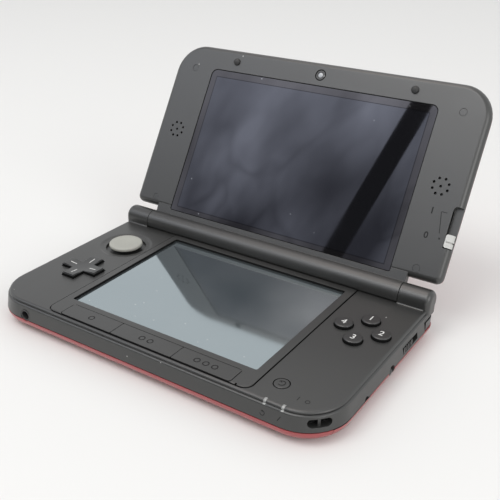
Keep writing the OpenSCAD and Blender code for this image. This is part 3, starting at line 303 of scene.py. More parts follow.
def add_world():
    """A white background, and soft light from all round that grows a little towards the top."""
    world = bpy.data.worlds.new("studio")
    bpy.context.scene.world = world
    world.use_nodes = True
    tree = world.node_tree
    tree.nodes.clear()
    seen = tree.nodes.new("ShaderNodeBackground")
    seen.inputs["Color"].default_value = (*SKY_SEEN, 1)
    soft = tree.nodes.new("ShaderNodeBackground")
    direction = tree.nodes.new("ShaderNodeTexCoord").outputs["Generated"]
    height = tree.nodes.new("ShaderNodeMapRange")
    height.inputs["To Min"].default_value = SKY_LIGHT_LOW
    height.inputs["To Max"].default_value = SKY_LIGHT_HIGH
    _, _, upward = split_node(tree, direction)
    tree.links.new(upward, height.inputs["Value"])
    tree.links.new(height.outputs["Result"], soft.inputs["Color"])
    out = tree.nodes.new("ShaderNodeOutputWorld")
    tree.links.new(mix_backgrounds(tree, seen, soft).outputs[0], out.inputs["Surface"])


def add_floor():
    """White paper under the console, wide enough to run out of the picture."""
    paper = bpy.data.materials.new("floor_white")
    paper.use_nodes = True
    shader = paper.node_tree.nodes["Principled BSDF"]
    shader.inputs["Base Color"].default_value = (*FLOOR_COLOUR, 1)
    shader.inputs["Roughness"].default_value = FLOOR_ROUGHNESS
    shader.inputs["Specular IOR Level"].default_value = FLOOR_SHEEN
    bpy.ops.object.select_all(action="DESELECT")
    bpy.ops.mesh.primitive_plane_add(size=FLOOR_SIZE, location=(0, 0, 0))
    floor = bpy.context.object
    floor.name = "floor"
    floor.data.materials.append(paper)


# ---------- cards that the screens mirror ----------

SCREEN_MIDDLE = (0, 0.063, 0.051)
FOLD_TURN = -28
FOLD_STRETCH = 0.45
CREASE_SHARPNESS = 14.0
CREASE_DEPTH = 0.25
# dark strip down the front cloth: its middle, half its width, and its lean in degrees
CLOTH_STRIP = (-0.112, 0.0145, 4.5)
STRIP_COLOUR = (0.012, 0.012, 0.014)


def glowing_material(name, strength):
    """A material that only glows; returns it, its node tree and the node that glows."""
    material = bpy.data.materials.new(name)
    material.use_nodes = True
    tree = material.node_tree
    tree.nodes.clear()
    glow = tree.nodes.new("ShaderNodeEmission")
    glow.inputs["Strength"].default_value = strength
    out = tree.nodes.new("ShaderNodeOutputMaterial")
    tree.links.new(glow.outputs[0], out.inputs["Surface"])
    return material, tree, glow


def strip_mask(tree, x, y, middle, half, lean):
    """1 in a strip that leans from upright, 0 beside it."""
    slope = math_node(tree, "MULTIPLY", y, math.tan(math.radians(lean)))
    across = math_node(tree, "SUBTRACT", math_node(tree, "SUBTRACT", x, slope), middle)
    return math_node(tree, "LESS_THAN", math_node(tree, "ABSOLUTE", across), half)


def folded_cloth(name, dark, pale, strength, lift, shift, strip=None):
    """Soft folds of a hung cloth, paler along X and Y by lift, with a dark strip if one is given."""
    material, tree, glow = glowing_material(name, strength)
    coordinates = tree.nodes.new("ShaderNodeTexCoord").outputs["Object"]
    turn = (0, 0, math.radians(FOLD_TURN))
    slanted = mapping_node(
        tree, coordinates, Location=shift, Rotation=turn, Scale=(1.0, FOLD_STRETCH, 1.0),
    )
    broad = spread(tree, noise_node(tree, slanted, 8.0, 1.0), 0.15, 1.0)
    folds = spread(tree, noise_node(tree, slanted, 21.0, 2.0, 0.55), 0.55, 1.0)
    creases = noise_node(tree, slanted, 13.0, 1.0, distortion=0.7)
    ridge = math_node(tree, "ABSOLUTE", math_node(tree, "SUBTRACT", creases, 0.5))
    ridge = math_node(tree, "MULTIPLY", ridge, CREASE_SHARPNESS, clamp=True)
    crease = math_node(tree, "ADD", math_node(tree, "MULTIPLY", ridge, CREASE_DEPTH), 1 - CREASE_DEPTH)
    tone = math_node(tree, "MULTIPLY", math_node(tree, "MULTIPLY", broad, folds), crease)
    x, y, _ = split_node(tree, coordinates)
    tone = math_node(tree, "ADD", tone, math_node(tree, "MULTIPLY", x, lift[0]))
    tone = math_node(tree, "ADD", tone, math_node(tree, "MULTIPLY", y, lift[1]), clamp=True)
    colour = mix_colour(tree, tone, dark, pale)
    if strip is not None:
        colour = mix_colour(tree, strip_mask(tree, x, y, *strip), colour, STRIP_COLOUR)
    tree.links.new(colour, glow.inputs["Color"])
    return material


def facing_matrix(centre, along):
    """Frame of a card at a point, its Z against a direction, its X level and its Y upright."""
    side = along.cross(Vector((0, 0, 1))).normalized()
    up = side.cross(along)
    place = Matrix((side, up, -along)).transposed().to_4x4()
    place.translation = centre
    return place


def add_card(name, start, direction, distance, width, height, material):
    """A card at a distance from a start, facing it, that only reflections show and that shades nothing."""
    along = Vector(direction).normalized()
    bpy.ops.object.select_all(action="DESELECT")
    bpy.ops.mesh.primitive_plane_add(size=1)
    card = bpy.context.object
    card.name = name
    card.data.transform(Matrix.Diagonal((width, height, 1, 1)))
    card.matrix_world = facing_matrix(Vector(start) + along * distance, along)
    card.data.materials.append(material)
    card.visible_camera = False
    card.visible_diffuse = False
    card.visible_shadow = False


def add_cards():
    """Cloths out of view, the dark of the room low in front, and a light strip overhead."""
    front = folded_cloth(
        "front_cloth", dark=(0.09, 0.093, 0.11), pale=(0.88, 0.92, 1.0), strength=2.55,
        lift=(0.6, 1.7), shift=(0.61, 0.25, 0), strip=CLOTH_STRIP,
    )
    add_card(
        "front_cloth", SCREEN_MIDDLE, (-0.47, -0.673, 0.572),
        distance=0.75, width=0.85, height=0.36, material=front,
    )
    above = folded_cloth(
        "upper_cloth", dark=(0.1, 0.11, 0.13), pale=(1.0, 0.9, 0.85), strength=3.0,
        lift=(0, 2.6), shift=(0.52, 0.31, 0),
    )
    add_card(
        "upper_cloth", SCREEN_MIDDLE, (-0.493, 0.056, 0.868),
        distance=0.9, width=0.7, height=0.8, material=above,
    )
    room, *_ = glowing_material("room", 0.02)
    add_card(
        "dark_room", (0, 0, 0.26), (-0.35, -0.93, 0.0),
        distance=1.2, width=2.4, height=0.52, material=room,
    )
    strip, *_ = glowing_material("strip", 3.4)
    add_card(
        "ceiling_strip", (0, 0, 0), (-0.25, -0.43, 0.87),
        distance=1.0, width=1.2, height=0.22, material=strip,
    )


def add_studio():
    add_camera()
    add_world()
    add_floor()
    add_cards()
    add_area_light("key_light", (-0.32, -0.5, 1.15), size=0.8, power=5.2, colour=(1, 0.995, 0.98))
    add_area_light("fill_light", (1.0, -0.25, 0.55), size=0.7, power=3.0, colour=(1, 0.99, 0.97))
    bpy.context.scene.view_settings.view_transform = "Standard"


# ---------- shared surface effects ----------

HOUSING_GRAIN = 5200.0
BUTTON_GRAIN = 4200.0
RUBBER_GRAIN = 3600.0
EDGE_RADIUS = 0.0002
RUBBER_EDGE_RADIUS = 0.00025
SPECKS_PER_METRE = 520.0
SPECK_RADIUS = 0.16
EDGE_POLISH = 6.0


def new_group(name, inputs, outputs):
    """Node group with named sockets; returns the group, its input node and its output node."""
    group = bpy.data.node_groups.new(name, "ShaderNodeTree")
    for label, kind, value in inputs:
        socket = group.interface.new_socket(label, in_out="INPUT", socket_type=kind)
        if value is not None:
            socket.default_value = value
    for label, kind in outputs:
        group.interface.new_socket(label, in_out="OUTPUT", socket_type=kind)
    return group, group.nodes.new("NodeGroupInput"), group.nodes.new("NodeGroupOutput")


def make_grain_group():
    """Fine spark-eroded grain of moulded plastic: a height, and slow patches where hands polished it."""
    group, inside, outside = new_group(
        "moulded_grain",
        [("Vector", "NodeSocketVector", None), ("Scale", "NodeSocketFloat", HOUSING_GRAIN)],
        [("Height", "NodeSocketFloat"), ("Patches", "NodeSocketFloat")],
    )
    vector = inside.outputs["Vector"]
    fine = noise_node(group, vector, inside.outputs["Scale"], 3.0, 0.6)
    coarse_scale = math_node(group, "MULTIPLY", inside.outputs["Scale"], 0.27)
    coarse = noise_node(group, vector, coarse_scale, 2.0)
    height = math_node(group, "ADD", fine, math_node(group, "MULTIPLY", coarse, 0.6))
    patches = noise_node(group, vector, 38.0, 4.0, 0.55)
    group.links.new(height, outside.inputs["Height"])
    group.links.new(patches, outside.inputs["Patches"])
    return group


def make_dust_group():
    """Sparse pale specks of dust: a mask."""
    group, inside, outside = new_group(
        "dust_specks",
        [("Vector", "NodeSocketVector", None), ("Amount", "NodeSocketFloat", 0.05)],
        [("Mask", "NodeSocketFloat")],
    )
    cells = group.nodes.new("ShaderNodeTexVoronoi")
    cells.inputs["Scale"].default_value = SPECKS_PER_METRE
    group.links.new(inside.outputs["Vector"], cells.inputs["Vector"])
    near = math_node(group, "LESS_THAN", cells.outputs["Distance"], SPECK_RADIUS)
    pick = group.nodes.new("ShaderNodeSeparateColor")
    group.links.new(cells.outputs["Color"], pick.inputs[0])
    rare = math_node(group, "LESS_THAN", pick.outputs[0], inside.outputs["Amount"])
    group.links.new(math_node(group, "MULTIPLY", near, rare), outside.inputs["Mask"])
    return group


def make_edge_group():
    """Rounded shading normal, and a mask of the edges that rubbing has polished."""
    group, inside, outside = new_group(
        "worn_edges",
        [("Vector", "NodeSocketVector", None), ("Radius", "NodeSocketFloat", EDGE_RADIUS)],
        [("Normal", "NodeSocketVector"), ("Mask", "NodeSocketFloat")],
    )
    rounded = group.nodes.new("ShaderNodeBevel")
    rounded.samples = 4
    group.links.new(inside.outputs["Radius"], rounded.inputs["Radius"])
    surface = group.nodes.new("ShaderNodeNewGeometry")
    dot = group.nodes.new("ShaderNodeVectorMath")
    dot.operation = "DOT_PRODUCT"
    group.links.new(rounded.outputs["Normal"], dot.inputs[0])
    group.links.new(surface.outputs["Normal"], dot.inputs[1])
    turned = math_node(group, "SUBTRACT", 1.0, dot.outputs["Value"])
    broken = noise_node(group, inside.outputs["Vector"], 260.0, 3.0)
    polished = math_node(group, "MULTIPLY", turned, EDGE_POLISH)
    group.links.new(rounded.outputs["Normal"], outside.inputs["Normal"])
    group.links.new(math_node(group, "MULTIPLY", polished, broken, clamp=True), outside.inputs["Mask"])
    return group


GRAIN = make_grain_group()
DUST = make_dust_group()
EDGES = make_edge_group()


def place_group(tree, group, vector, **values):
    node = tree.nodes.new("ShaderNodeGroup")
    node.node_tree = group
    tree.links.new(vector, node.inputs["Vector"])
    for label, value in values.items():
        node.inputs[label].default_value = value
    return node


def dusted(tree, vector, base, amount, cover, colour):
    """A base colour with sparse specks of dust over it."""
    specks = place_group(tree, DUST, vector, Amount=amount)
    return mix_colour(tree, math_node(tree, "MULTIPLY", specks.outputs["Mask"], cover), base, colour)


def bump(tree, shader, height, strength, distance, normal):
    node = tree.nodes.new("ShaderNodeBump")
    node.inputs["Strength"].default_value = strength
    node.inputs["Distance"].default_value = distance
    tree.links.new(height, node.inputs["Height"])
    tree.links.new(normal, node.inputs["Normal"])
    tree.links.new(node.outputs["Normal"], shader.inputs["Normal"])


# ---------- materials ----------


def new_material(name):
    """A material with its node tree, its shader and the object's own coordinates."""
    material = bpy.data.materials.new(name)
    material.use_nodes = True
    tree = material.node_tree
    coordinates = tree.nodes.new("ShaderNodeTexCoord")
    return material, tree, tree.nodes["Principled BSDF"], coordinates.outputs["Object"]


def moulded_plastic(name, colour, smooth, rough, grain=HOUSING_GRAIN, dust=0.02, wear=0.25, sheen=0.85):
    """Moulded plastic: grain in the bump, hand-polished patches, paler worn edges and a little dust."""
    material, tree, shader, vector = new_material(name)
    surface = place_group(tree, GRAIN, vector, Scale=grain)
    patches = surface.outputs["Patches"]
    edges = place_group(tree, EDGES, vector, Radius=EDGE_RADIUS)
    base = mix_colour(tree, patches, scaled(colour, 0.88), scaled(colour, 1.1))
    rubbed = math_node(tree, "MULTIPLY", edges.outputs["Mask"], wear)
    base = mix_colour(tree, rubbed, base, tuple(min(1.0, 1.9 * part + 0.03) for part in colour))
    base = dusted(tree, vector, base, dust, 0.7, (0.5, 0.5, 0.48))
    tree.links.new(base, shader.inputs["Base Color"])
    tree.links.new(spread(tree, patches, smooth, rough), shader.inputs["Roughness"])
    shader.inputs["Specular IOR Level"].default_value = sheen
    bump(tree, shader, surface.outputs["Height"], 0.14, 0.00004, edges.outputs["Normal"])
    return material


def metallic_paint(name, colour):
    """Pearl lacquer over plastic: fine flakes that change the tone, under a clear coat."""
    material, tree, shader, vector = new_material(name)
    flakes = noise_node(tree, vector, 9000.0, 1.0)
    cloud = noise_node(tree, vector, 30.0, 2.0)
    edges = place_group(tree, EDGES, vector, Radius=EDGE_RADIUS)
    tones = mix_colour(tree, flakes, scaled(colour, 0.72), scaled(colour, 1.3))
    tree.links.new(tones, shader.inputs["Base Color"])
    tree.links.new(spread(tree, cloud, 0.28, 0.36), shader.inputs["Roughness"])
    shader.inputs["Metallic"].default_value = 0.3
    shader.inputs["Coat Weight"].default_value = 0.5
    shader.inputs["Coat Roughness"].default_value = 0.12
    tree.links.new(edges.outputs["Normal"], shader.inputs["Normal"])
    return material


def machined_metal(name, colour, roughness):
    """Sheet or turned metal with faint lines along X."""
    material, tree, shader, vector = new_material(name)
    stretched = mapping_node(tree, vector, Scale=(0.04, 1, 1))
    lines = noise_node(tree, stretched, 3000.0, 2.0)
    tones = mix_colour(tree, lines, scaled(colour, 0.85), colour)
    tree.links.new(tones, shader.inputs["Base Color"])
    tree.links.new(spread(tree, lines, roughness, roughness + 0.12), shader.inputs["Roughness"])
    shader.inputs["Metallic"].default_value = 1.0
    return material


def soft_rubber(name, colour, roughness=0.75):
    """Matt rubber with a soft grain and a little dust."""
    material, tree, shader, vector = new_material(name)
    surface = place_group(tree, GRAIN, vector, Scale=RUBBER_GRAIN)
    patches = surface.outputs["Patches"]
    edges = place_group(tree, EDGES, vector, Radius=RUBBER_EDGE_RADIUS)
    base = mix_colour(tree, patches, scaled(colour, 0.86), colour)
    base = dusted(tree, vector, base, 0.03, 0.5, (0.6, 0.6, 0.58))
    tree.links.new(base, shader.inputs["Base Color"])
    tree.links.new(spread(tree, patches, roughness - 0.1, roughness), shader.inputs["Roughness"])
    bump(tree, shader, surface.outputs["Height"], 0.3, 0.00005, edges.outputs["Normal"])
    return material


def touch_film(name):
    """Lower screen: a resistive film that mirrors the room softly over a grey, unlit display."""
    material, tree, shader, vector = new_material(name)
    smears = noise_node(tree, vector, 26.0, 5.0, 0.6)
    base = mix_colour(tree, smears, (0.33, 0.385, 0.41), (0.38, 0.43, 0.45))
    base = dusted(tree, vector, base, 0.05, 0.4, (0.7, 0.7, 0.7))
    tree.links.new(base, shader.inputs["Base Color"])
    tree.links.new(spread(tree, smears, 0.035, 0.08), shader.inputs["Roughness"])
    shader.inputs["Metallic"].default_value = 0.9
    return material


# picture area of the upper window in the lid's frame, and the thin line round it
PICTURE_HALF_W = 53.1
PICTURE_LOW = 9.5
PICTURE_HIGH = 73.6
LINE_W = 0.35


def inside_picture(tree, x, v, grow):
    """1 inside the picture area grown by so many millimetres, 0 outside."""
    across = math_node(tree, "LESS_THAN", math_node(tree, "ABSOLUTE", x), mm(PICTURE_HALF_W + grow))
    above = math_node(tree, "GREATER_THAN", v, mm(PICTURE_LOW - grow))
    below = math_node(tree, "LESS_THAN", v, mm(PICTURE_HIGH + grow))
    return math_node(tree, "MULTIPLY", across, math_node(tree, "MULTIPLY", above, below))


def window_glass(name):
    """Upper window: black printed border, a thin line, and the dark display behind glossy plastic."""
    material, tree, shader, vector = new_material(name)
    tilt = (math.radians(180 - LID_ANGLE), 0, 0)
    lid_vector = mapping_node(tree, vector, "TEXTURE", Location=point(*HINGE), Rotation=tilt)
    x, v, _ = split_node(tree, lid_vector)
    smears = noise_node(tree, vector, 30.0, 5.0, 0.6)
    glass = mix_colour(tree, smears, (0.063, 0.064, 0.074), (0.07, 0.071, 0.082))
    outlined = inside_picture(tree, x, v, LINE_W)
    base = mix_colour(tree, outlined, (0.066, 0.063, 0.067), (0.03, 0.029, 0.033))
    base = mix_colour(tree, inside_picture(tree, x, v, 0.0), base, glass)
    base = dusted(tree, vector, base, 0.012, 0.5, (0.6, 0.6, 0.6))
    tree.links.new(base, shader.inputs["Base Color"])
    tree.links.new(spread(tree, smears, 0.015, 0.04), shader.inputs["Roughness"])
    shader.inputs["Metallic"].default_value = 0.92
    return material


def clear_lens(name, colour, roughness=0.08):
    """Glossy tinted plastic with a faint haze under a clear coat."""
    material, tree, shader, vector = new_material(name)
    haze = noise_node(tree, vector, 700.0, 2.0)
    tones = mix_colour(tree, haze, scaled(colour, 0.85), colour)
    tree.links.new(tones, shader.inputs["Base Color"])
    shader.inputs["Roughness"].default_value = roughness
    shader.inputs["Coat Weight"].default_value = 1.0
    return material


FINISHES = {
    "housing_plastic": moulded_plastic("housing_plastic", (0.02, 0.0204, 0.0197), 0.33, 0.41, dust=0.008),
    "bezel_plastic": moulded_plastic("bezel_plastic", (0.024, 0.0243, 0.0235), 0.34, 0.42, dust=0.0015),
    "key_plastic": moulded_plastic(
        "key_plastic", (0.019, 0.0194, 0.019), 0.34, 0.42, grain=BUTTON_GRAIN, dust=0.008,
    ),
    "button_plastic": moulded_plastic(
        "button_plastic", (0.014, 0.014, 0.014), 0.28, 0.36, grain=BUTTON_GRAIN, dust=0.015,
    ),
    "slider_plastic": moulded_plastic(
        "slider_plastic", (0.5, 0.5, 0.485), 0.4, 0.5, grain=BUTTON_GRAIN, dust=0.0, wear=0.1,
    ),
    "inner_plastic": moulded_plastic("inner_plastic", (0.012, 0.012, 0.013), 0.5, 0.6, dust=0.0),
    # near-black dull plastic painted on the walls of gaps, holes and grooves as the shade that falls in
    # them
    "painted_gap_shade": moulded_plastic(
        "painted_gap_shade", (0.006, 0.006, 0.006), 0.7, 0.8, dust=0.0, wear=0.0, sheen=0.1,
    ),
    # dark marks on the housing, and painted shade on the faces that engraving cuts into the keys and the
    # power button
    "dark_mark_and_groove_shade": moulded_plastic(
        "dark_mark_and_groove_shade", (0.009, 0.009, 0.009), 0.5, 0.6, dust=0.0, wear=0.0, sheen=0.3,
    ),
    "circle_rubber": soft_rubber("circle_rubber", (0.385, 0.385, 0.35)),
    "black_rubber": soft_rubber("black_rubber", (0.022, 0.022, 0.022), 0.6),
    "red_lacquer": metallic_paint("red_lacquer", (0.35, 0.056, 0.06)),
    "steel": machined_metal("steel", (0.55, 0.56, 0.58), 0.3),
    "plate_metal": machined_metal("plate_metal", (0.6, 0.6, 0.62), 0.38),
    "board_mask": clear_lens("board_mask", (0.02, 0.12, 0.06), 0.3),
    "cable_film": clear_lens("cable_film", (0.5, 0.25, 0.05), 0.3),
    "light_guide": clear_lens("light_guide", (0.27, 0.275, 0.27), 0.35),
    "infrared_filter": clear_lens("infrared_filter", (0.03, 0.006, 0.01)),
    # white figures on the face buttons, and pale bars painted as highlights on the cross pad
    "white_mark_and_painted_highlight": clear_lens("white_mark_and_painted_highlight", (0.78, 0.78, 0.76), 0.4),
    "lens_glass": clear_lens("lens_glass", (0.35, 0.36, 0.38), 0.12),
    "touch_film": touch_film("touch_film"),
    "window_glass": window_glass("window_glass"),
}

NODE_FINISH = {
    "housing_plastic": ("base_housing", "wireless_switch", "stylus"),
    "bezel_plastic": ("lid_bezel",),
    "key_plastic": (*FRONT_KEYS, "power_button", "screw_plugs"),
    "button_plastic": (
        *FACE_BUTTONS, "cross_pad", "shoulder_button_left", "shoulder_button_right", "volume_slider",
    ),
    "inner_plastic": (
        "battery", "memory_card", "charge_port", "audio_socket", "stylus_silo", "circle_pad_tray",
        "inner_camera", "outer_cameras", "touch_display", "upper_display", "speakers",
    ),
    "slider_plastic": ("depth_slider",),
    "circle_rubber": ("circle_pad",),
    "black_rubber": ("cross_pad_membrane", "face_button_membrane", "front_key_membrane", "lid_bumpers"),
    "red_lacquer": ("base_cover", "lid_cover", "memory_card_door"),
    "steel": (
        "cover_screws", "lid_screws", "memory_card_slot", "game_card_slot", "microphone", "power_switch",
        "shoulder_switches", "volume_control", "wireless_control", "hinge_cartridges", "hinge_shafts",
        "circle_pad_carriage", "cross_pad_gimbal",
    ),
    "plate_metal": ("display_tray", "lid_plate"),
    "board_mask": ("main_board", "wireless_board", "depth_control"),
    "cable_film": ("display_flex",),
    "light_guide": ("light_pipes",),
    "infrared_filter": ("infrared_window",),
    "touch_film": ("touch_panel",),
    "window_glass": ("display_window",),
}
FINISH_OF = {node: finish for finish, nodes in NODE_FINISH.items() for node in nodes}


def finish_nodes():
    """Gives every CAD node its finish."""
    for node, piece in NODES.items():
        piece.data.materials.clear()
        piece.data.materials.append(FINISHES[FINISH_OF[node]])


# ---------- second finishes: painted shade on the walls of gaps, and faces that differ from the rest of their piece ---

# how far inside the outline the openings in the deck and in the lid's face begin, and the barrel's reach
DECK_MARGIN = 2.3
LID_MARGIN = 4.4
BARREL_V = 7.0
# rounded edges that end the face, where the painted gap shade begins: below the deck, above it on the keys,
# and below the lid's face
DECK_EDGE = 0.09
KEY_EDGE = 0.6
LID_EDGE = 0.03


def inside_by(x, y, outline):
    """How far a place lies inside an outline with rounded corners."""
    low, high, low_r, high_r = outline
    r = low_r if y < (low + high) / 2 else high_r
    across = abs(x) - (HALF_W - r)
    along = max(low + r - y, y - (high - r))
    if across > 0 and along > 0:
        return r - math.hypot(across, along)
    return min(HALF_W - abs(x), y - low, high - y)


def deck_opening_shade(at, normal):
    """Walls of the openings in the deck, down from just under its face, painted dark as the shade in them,
    but not the circle pad's dish.
    """
    if math.dist((at.x, at.y), CIRCLE_PAD) < CIRCLE_DISH_R:
        return False
    below_deck = at.z < DECK_Z - DECK_EDGE and at.y < DECK_BACK_Y
    past_side_wall = inside_by(at.x, at.y, BASE_OUTLINE) > DECK_MARGIN
    return below_deck and past_side_wall and normal.z < 0.3


def cover_cut(at, normal):
    """Cut faces of the stylus hole and the card door's opening, which carry no lacquer."""
    if at.x <= RIGHT_SIDE_X:
        return False
    near_stylus = math.dist((at.y, at.z), STYLUS_HOLE) < STYLUS_HOLE_R
    near_door = DOOR_FRONT_Y < at.y < DOOR_BACK_Y
    return (near_stylus and normal.x < 0.3) or (near_door and normal.x < 0.2 and normal.z > -0.3)


def pad_skirt(at, normal):
    """The circle pad's sliding plate, under its rubber cap."""
    return at.z < CIRCLE_CAP_LOW


def key_gap_shade(at, normal):
    """Side walls of a key that stands in its opening, with the outer part of its rounded edge, painted dark
    as the shade in the gap round the key.
    """
    return at.z < DECK_Z + KEY_EDGE and normal.z < 0.75


def switch_groove_shade(at, normal):
    """Grooves across the thumb face of the wireless switch, painted dark as the shade in them."""
    along = abs(at.y - THUMB_FACE[0]) < THUMB_HALF_SIZE[0]
    upright = abs(at.z - THUMB_FACE[1]) < THUMB_HALF_SIZE[1]
    return along and upright and GROOVE_FLOOR_X < at.x < THUMB_FACE_X


def lid_hole_shade(at, normal):
    """Walls of the holes in the lid's face, painted dark as the shade in them: speakers, window, camera,
    bumpers and plugs.
    """
    lid_at = (LID_FRAME.inverted() @ (at / 1000)) * 1000
    lid_normal = LID_FRAME.inverted().to_3x3() @ normal
    in_hole = lid_at.z < LID_FACE_Z - LID_EDGE and abs(lid_normal.z) < 0.35
    past_side_wall = inside_by(lid_at.x, lid_at.y, LID_OUTLINE) > LID_MARGIN
    return in_hole and past_side_wall and lid_at.y > BARREL_V


def window_edge_shade(at, normal):
    """Rounded edge and sides of the upper window, painted dark as the shadow in the gap round it."""
    return (LID_FRAME.inverted().to_3x3() @ normal).z < 0.985


# painted gap shade on the walls of gaps and holes, and a plain second finish on cut faces and the pad's
# plate
SECOND_FINISH = {
    "base_housing": ("painted_gap_shade", deck_opening_shade),
    "base_cover": ("housing_plastic", cover_cut),
    "memory_card_door": ("housing_plastic", cover_cut),
    "circle_pad": ("housing_plastic", pad_skirt),
    "display_window": ("painted_gap_shade", window_edge_shade),
    "wireless_switch": ("painted_gap_shade", switch_groove_shade),
    "lid_bezel": ("painted_gap_shade", lid_hole_shade),
    **dict.fromkeys((*FACE_BUTTONS, *FRONT_KEYS, "cross_pad", "power_button"), ("painted_gap_shade", key_gap_shade)),
}


def add_second_finish(piece, finish, rule):
    """Gives a second finish to the faces that a rule picks by their middle, in millimetres, and normal."""
    piece.data.materials.append(FINISHES[finish])
    for face in piece.data.polygons:
        if rule(face.center * 1000, face.normal):
            face.material_index = 1


# ---------- rounded copies of the pieces that show ----------

ROUNDED = {
    # node: (edge radius in mm, segments)
    "base_housing": (0.12, 2),
    "base_cover": (0.1, 2),
    "lid_bezel": (0.12, 2),
    "lid_cover": (0.1, 2),
    "memory_card_door": (0.12, 2),
    "circle_pad": (0.15, 3),
    "cross_pad": (0.3, 3),
    **dict.fromkeys(FACE_BUTTONS, (0.2, 3)),
    **dict.fromkeys(FRONT_KEYS, (0.32, 3)),
    "power_button": (0.15, 3),
    "shoulder_button_left": (0.2, 2),
    "shoulder_button_right": (0.2, 2),
    "volume_slider": (0.15, 2),
    "wireless_switch": (0.12, 2),
    "depth_slider": (0.2, 3),
    "display_window": (0.3, 3),
    "light_pipes": (0.05, 2),
    "lid_bumpers": (0.1, 2),
    "screw_plugs": (0.06, 2),
    "audio_socket": (0.08, 2),
}
MERGE_DISTANCE = 0.004
# degrees between faces: those to join as one flat face, and the edges that are rounded and stay sharp
FLAT_ANGLE = 0.6
EDGE_ANGLE = 38


def select_only(piece):
    bpy.ops.object.select_all(action="DESELECT")
    piece.select_set(True)
    bpy.context.view_layer.objects.active = piece


def smooth_by_angle(piece, degrees=32):
    select_only(piece)
    bpy.ops.object.shade_smooth_by_angle(angle=math.radians(degrees))


def copy_of_node(node):
    """Copy of a CAD node, free of the frame's own properties, with its faces merged."""
    select_only(NODES[node])
    bpy.ops.object.duplicate()
    piece = bpy.context.object
    piece.parent = None
    piece.name = node + "_rounded"
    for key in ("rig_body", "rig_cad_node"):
        if key in piece:
            del piece[key]
    select_only(piece)
    bpy.ops.object.mode_set(mode="EDIT")
    bpy.ops.mesh.select_all(action="SELECT")
    bpy.ops.mesh.remove_doubles(threshold=mm(MERGE_DISTANCE))
    bpy.ops.mesh.dissolve_limited(angle_limit=math.radians(FLAT_ANGLE))
    bpy.ops.object.mode_set(mode="OBJECT")
    return piece


def engrave(piece, cutter):
    """Cuts a mark into a piece and takes the cutter away."""
    cut = piece.modifiers.new("mark", "BOOLEAN")
    cut.operation = "DIFFERENCE"
    cut.solver = "EXACT"
    cut.material_mode = "TRANSFER"
    cut.object = cutter
    select_only(piece)
    bpy.ops.object.modifier_apply(modifier=cut.name)
    bpy.data.objects.remove(cutter)


def round_edges(node):
    """Copy of a CAD node with rounded edges, engraved marks and its finishes, which stands for the node."""
    piece = copy_of_node(node)
    radius, segments = ROUNDED[node]
    edge = piece.modifiers.new("rounded_edges", "BEVEL")
    edge.width = mm(radius)
    edge.segments = segments
    edge.limit_method = "ANGLE"
    edge.angle_limit = math.radians(EDGE_ANGLE)
    edge.use_clamp_overlap = True
    edge.harden_normals = False
    bpy.ops.object.modifier_apply(modifier=edge.name)
    for cutter in mark_cutters(node):
        engrave(piece, cutter)
    if node in SECOND_FINISH:
        add_second_finish(piece, *SECOND_FINISH[node])
    smooth_by_angle(piece, EDGE_ANGLE)
    even = piece.modifiers.new("even_normals", "WEIGHTED_NORMAL")
    even.keep_sharp = True
    bpy.ops.object.modifier_apply(modifier=even.name)
    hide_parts(node)
    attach(piece, BODY_OF[node])
    return piece


# ---------- shapes of the marks ----------


def settle(piece, matrix, finish, body):
    """Puts a mark where it belongs, gives it its finish and lets it ride on a body."""
    piece.data.transform(matrix)
    piece.data.materials.clear()
    piece.data.materials.append(FINISHES[finish])
    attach(piece, body)
    return piece


def make_figure(name, text, size, thickness, weight):
    """A plain figure with rounded strokes of a chosen weight, centred, facing Z."""
    bpy.ops.object.select_all(action="DESELECT")
    bpy.ops.object.text_add()
    piece = bpy.context.object
    piece.name = name
    piece.data.body = text
    piece.data.size = mm(size)
    piece.data.align_x = "CENTER"
    piece.data.align_y = "CENTER"
    piece.data.extrude = mm(thickness / 2)
    piece.data.resolution_u = 6
    piece.data.offset = mm(weight)
    select_only(piece)
    bpy.ops.object.convert(target="MESH")
    return bpy.context.object


def make_bar(name, length, width, thickness):
    """A short bar along X with rounded edges, centred."""
    bpy.ops.object.select_all(action="DESELECT")
    bpy.ops.mesh.primitive_cube_add(size=1)
    piece = bpy.context.object
    piece.name = name
    bpy.ops.object.mode_set(mode="EDIT")
    bpy.ops.mesh.select_all(action="SELECT")
    bpy.ops.transform.resize(value=(mm(length), mm(width), mm(thickness)))
    bpy.ops.mesh.bevel(offset=mm(min(width, thickness) * 0.3), segments=2, affect="EDGES")
    bpy.ops.object.mode_set(mode="OBJECT")
    return piece


FULL_TURN = 360.0


def make_ring(name, radius, width, thickness, arc=FULL_TURN):
    """A flat ring, or part of one, made by turning a small upright profile round Z."""
    bpy.ops.object.select_all(action="DESELECT")
    bpy.ops.mesh.primitive_plane_add(size=1)
    piece = bpy.context.object
    piece.name = name
    upright = turned_about("X", 90) @ Matrix.Diagonal((mm(width), mm(thickness), 1, 1))
    piece.data.transform(Matrix.Translation((mm(radius), 0, 0)) @ upright)
    bpy.ops.object.mode_set(mode="EDIT")
    bpy.ops.mesh.select_all(action="SELECT")
    bpy.ops.mesh.spin(steps=40, angle=math.radians(arc), center=(0, 0, 0), axis=(0, 0, 1))
    bpy.ops.mesh.select_all(action="SELECT")
    bpy.ops.mesh.remove_doubles(threshold=mm(0.003))
    if arc == FULL_TURN:
        bpy.ops.mesh.select_all(action="DESELECT")
        bpy.ops.mesh.select_interior_faces()
        bpy.ops.mesh.delete(type="FACE")
        bpy.ops.mesh.select_all(action="SELECT")
    bpy.ops.mesh.normals_make_consistent(inside=False)
    bpy.ops.object.mode_set(mode="OBJECT")
    smooth_by_angle(piece)
    return piece


